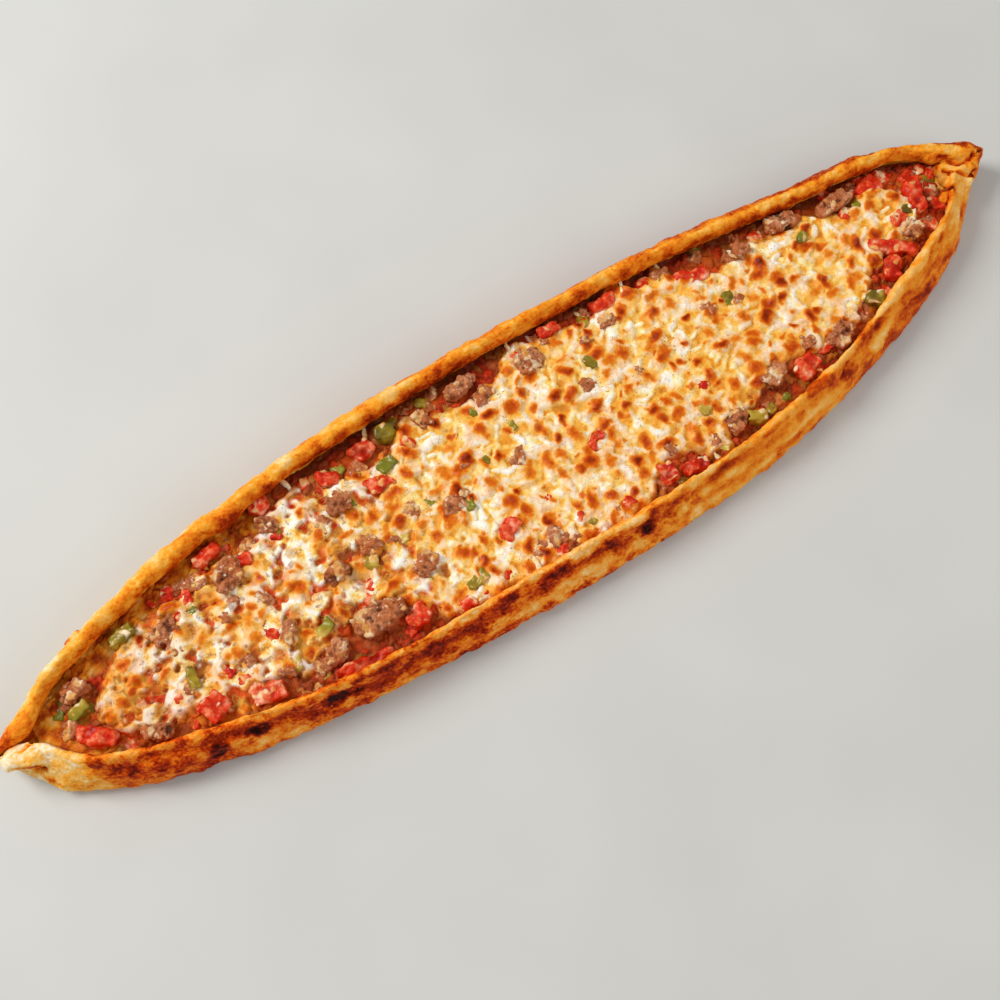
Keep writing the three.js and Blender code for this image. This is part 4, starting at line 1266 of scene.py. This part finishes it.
# %% Pepper material
cooked_pepper, add = new_material("cooked_green_pepper")
place = add("TexCoord", output="Object")
waxy = add("TexNoise", place, lumps(3.0), 3.0, 0.55)
tone = add("Math", add("TexNoise", place, lumps(14.0), 1.0, 0.55), 0.6, operation="MULTIPLY")
tone = add("Math", waxy, 0.4, tone, operation="MULTIPLY_ADD")
olive = add("ValToRGB", tone, stops=[
    (0.36, "5e4a0c"), (0.43, "7e6a12"), (0.5, "9c821a"), (0.57, "b8982e"), (0.64, "d4b658"),
    (0.74, "ecdc9c"),
])
fresh = add("TexNoise", place, lumps(11.0), 0.0, 0.55)
fresh = add("ValToRGB", fresh, stops=[(0.52, "000000"), (0.6, "ffffff")])
colour = lay_over(add, olive, (fresh, 0.6, "6f7d1c"))
bump = add("Bump", inputs={"Strength": 0.3, "Distance": 0.6 * MM, "Height": waxy})
add("OutputMaterial", add("BsdfPrincipled", inputs={
    "Base Color": smeared(add, place, colour), "Roughness": 0.25, "IOR": 1.42, "Normal": bump,
}))
finish_piece("pepper_dice", pepper_mesh, cooked_pepper, pepper_names)

# %% [markdown]
# ## Crumbs and bits
# Between the larger pieces lie crumbs of meat, bits of tomato and pepper, and short strings of
# cheese that run across to the rims. Each is a small ball, drawn out to its own length, width and
# height and turned its own way. A power below one on its coordinates makes a ball boxy like a cut
# dice, and noise makes it uneven. Mostly sunk, each rests on whichever surface is higher there.

# %% Strewing helpers
MOST_LEAN = 0.35              # of a crumb, in radians
CRUMB_FLATNESS = 0.5          # its height over its length
MARGIN_MM = 2.0               # left free beside each rim
BARE_RIGHT_END = (190.0, 215.0)                # along X, and
BESIDE_RIM = (9.0, 3.0)       # from a rim: where crumbs are as likely as in the margins, mm


def strewn(rows, seed, rounds, boxy, rough_mm, sink):
    """One mesh of crumbs. rows: x, y, turn, half length, half width, half height in mm."""
    draw = random.Random(seed)
    rows = np.asarray(rows)
    px, py = rows[:, :2].T
    levels = np.maximum(bed_surface(px, py)[0], cheese_surface(px, py)[0])
    form = bmesh.new()
    bmesh.ops.create_icosphere(form, subdivisions=rounds, radius=1.0)
    ball = as_mesh(form, "ball")
    unit = vertex_numbers(ball, "co")
    shaped = np.sign(unit) * np.abs(unit) ** boxy
    form = bmesh.new()
    for (px, py, turn, length, width, height), level in zip(rows, levels):
        lean = Matrix.Rotation(draw.uniform(-MOST_LEAN, MOST_LEAN), 3, "Y")
        turned = np.array(Matrix.Rotation(turn, 3, "Z") @ lean).T
        body = (shaped * [length, width, height]) @ turned
        own = body + [px * 3, py * 3, 0]
        rough = rough_mm * (bumps(own, 2.2 * rough_mm + 0.8, 3) + 0.6 * bumps(own, 1.3, 4))
        body += unit @ turned * rough[:, None]
        set_points(ball, body + [px, py, level + height * (1 - 2 * draw.uniform(*sink))])
        form.from_mesh(ball)
    return as_mesh(form, "crumbs")


def chance_of_crumb(px, margin, chances):
    """How likely a crumb is: chances are for the left part, the bare margins and the right part."""
    in_left, in_margins, in_right = chances
    left = float(step(*LEFT_PART, px))
    ends = float(step(*BARE_RIGHT_END, px))
    beside = float(step(*BESIDE_RIM, margin))
    return max(in_right + (in_left - in_right) * left, in_margins * max(beside, ends))


def crumb_rows(spacing, seed, chances, half_mm, larger):
    """Rows for strewn: random ones over the trough, and the larger ones at their own places."""
    draw = random.Random(seed)
    rows = []
    for px, py in jittered(spacing, seed):
        near = np.interp(px, bed_x, bed_near) + MARGIN_MM
        far = np.interp(px, bed_x, bed_far) - MARGIN_MM
        margin = min(py - near, far - py)
        size = draw.uniform(*half_mm)
        stretch = draw.uniform(0.75, 1.3)
        turn = draw.uniform(0, math.tau)
        if margin > 0 and draw.random() < chance_of_crumb(px, margin, chances):
            rows.append((px, py, turn, size * stretch, size / stretch, size * CRUMB_FLATNESS))
    for px, py, length in larger:
        half = length / 2
        rows.append((px, py, draw.uniform(0, math.tau), half, half * draw.uniform(0.6, 0.85),
                     half * CRUMB_FLATNESS))
    return rows


print("strewing helpers ready")

# %% Crumbs of meat, tomato and pepper
# the larger ones: x, y and length in mm
LARGER_MEAT = (
    (-117, 34, 9), (-128, -33, 9), (-86, 24, 9), (132, -21, 8), (-158, 28, 9), (166, -22, 9),
    (116, 12, 8), (48, 31, 9), (-29, 43, 7), (-60, 8, 7), (-140, -6, 8), (-190, 4, 8),
)
LARGER_TOMATO = (
    (-212, -19, 8), (-162, -14, 7), (-162, 23, 8), (-168, 18, 7), (-133, 25, 8), (-115, 28, 7),
    (-94, 41, 8), (-46, 33, 7), (-62, -43, 8), (85, 42, 7), (137, -28, 8), (178, -21, 8),
    (212, 28, 12), (222, 22, 11), (185, 21, 8), (143, 35, 8), (205, 6, 7), (229, 12, 10),
    (226, 3, 9), (200, 31, 10), (217, -3, 8), (233, 18, 9),
)
LARGER_PEPPER = (
    (-87, -5, 7), (-78, 40, 7), (-47, 46, 7), (-38, -6, 6), (43, 22, 7), (52, 41, 7), (74, -24, 7),
    (46, -45, 7), (100, -39, 7), (108, -38, 7), (114, 15, 7), (193, 22, 8), (230, 16, 7),
    (116, 43, 7), (-14, 30, 5),
)
CRUMB_ROUNDS = 4
CRUMB_SINK = (0.72, 0.92)     # share of its height that is sunk
CRUMBS = (
    # piece, material, slot; spacing in mm, seed, chances, half length in mm, larger ones;
    # how boxy (1 is round), roughness in mm and share that melted cheese smears
    ("meat_crumbs", seared_meat, "diced_meat",
     (8.6, 91, (0.22, 0.36, 0.03), (2.2, 4.6), LARGER_MEAT), 0.9, 1.3, 0.42),
    ("tomato_bits", cooked_tomato, "diced_tomato",
     (9.4, 93, (0.11, 0.36, 0.015), (1.7, 3.4), LARGER_TOMATO), 0.7, 0.5, 0.5),
    ("pepper_bits", cooked_pepper, "diced_pepper",
     (9.8, 95, (0.10, 0.14, 0.012), (1.6, 3.0), LARGER_PEPPER), 0.6, 0.4, 0.25),
)
for name, material, slot, drawn, boxy, rough_mm, melt_share in CRUMBS:
    mesh = strewn(crumb_rows(*drawn), drawn[1] + 1, CRUMB_ROUNDS, boxy, rough_mm, CRUMB_SINK)
    points = get_points(mesh)
    dress_topping(mesh, points, 0.4 * bumps(points, 1.2, 80), melt_share)
    finish_piece(name, mesh, material)

# %% Strings of cheese
STRING_SHAPE = (1.0, 0.6)     # half width and half height, mm
STRINGS = (
    # x, y, turn in degrees, half length in mm: strings that cross to a rim
    (-101, 45.5, 100, 5.5), (16, 47.5, 80, 5.0), (27, 47.5, 95, 4.6), (75, 44.0, 75, 5.0),
    (96, 42.0, 95, 5.0), (-150, 33.5, 120, 4.5), (-60, 46.5, 70, 4.5), (52, 46.0, 110, 4.2),
    (-28, -44.5, 85, 4.4), (66, -43.0, 100, 4.6),
)
string_rows = [(px, py, math.radians(turn), half_length, *STRING_SHAPE)
               for px, py, turn, half_length in STRINGS]
cheese_strings = strewn(string_rows, 99, rounds=3, boxy=1.0, rough_mm=0.6, sink=(0.3, 0.5))
plain = dict.fromkeys(("blister", "ring", "kind", "tone", "left", "toasted"), 0.0)
carry(cheese_strings, thick=0.8, shred=0.4, **plain)
finish_piece("cheese_strings", cheese_strings, melted_cheese)

# %% [markdown]
# ## Check the size
# The dressed bread has to stay inside the solid's box. How far it reaches past that box is printed.

# %% Size against the solid's box
VISUAL_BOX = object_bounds()
over = np.maximum(np.array(CAD_BOX[0]) - VISUAL_BOX[0], np.array(VISUAL_BOX[1]) - CAD_BOX[1]) / MM
print("over the solid's box, mm:", [round(float(v), 2) for v in over])
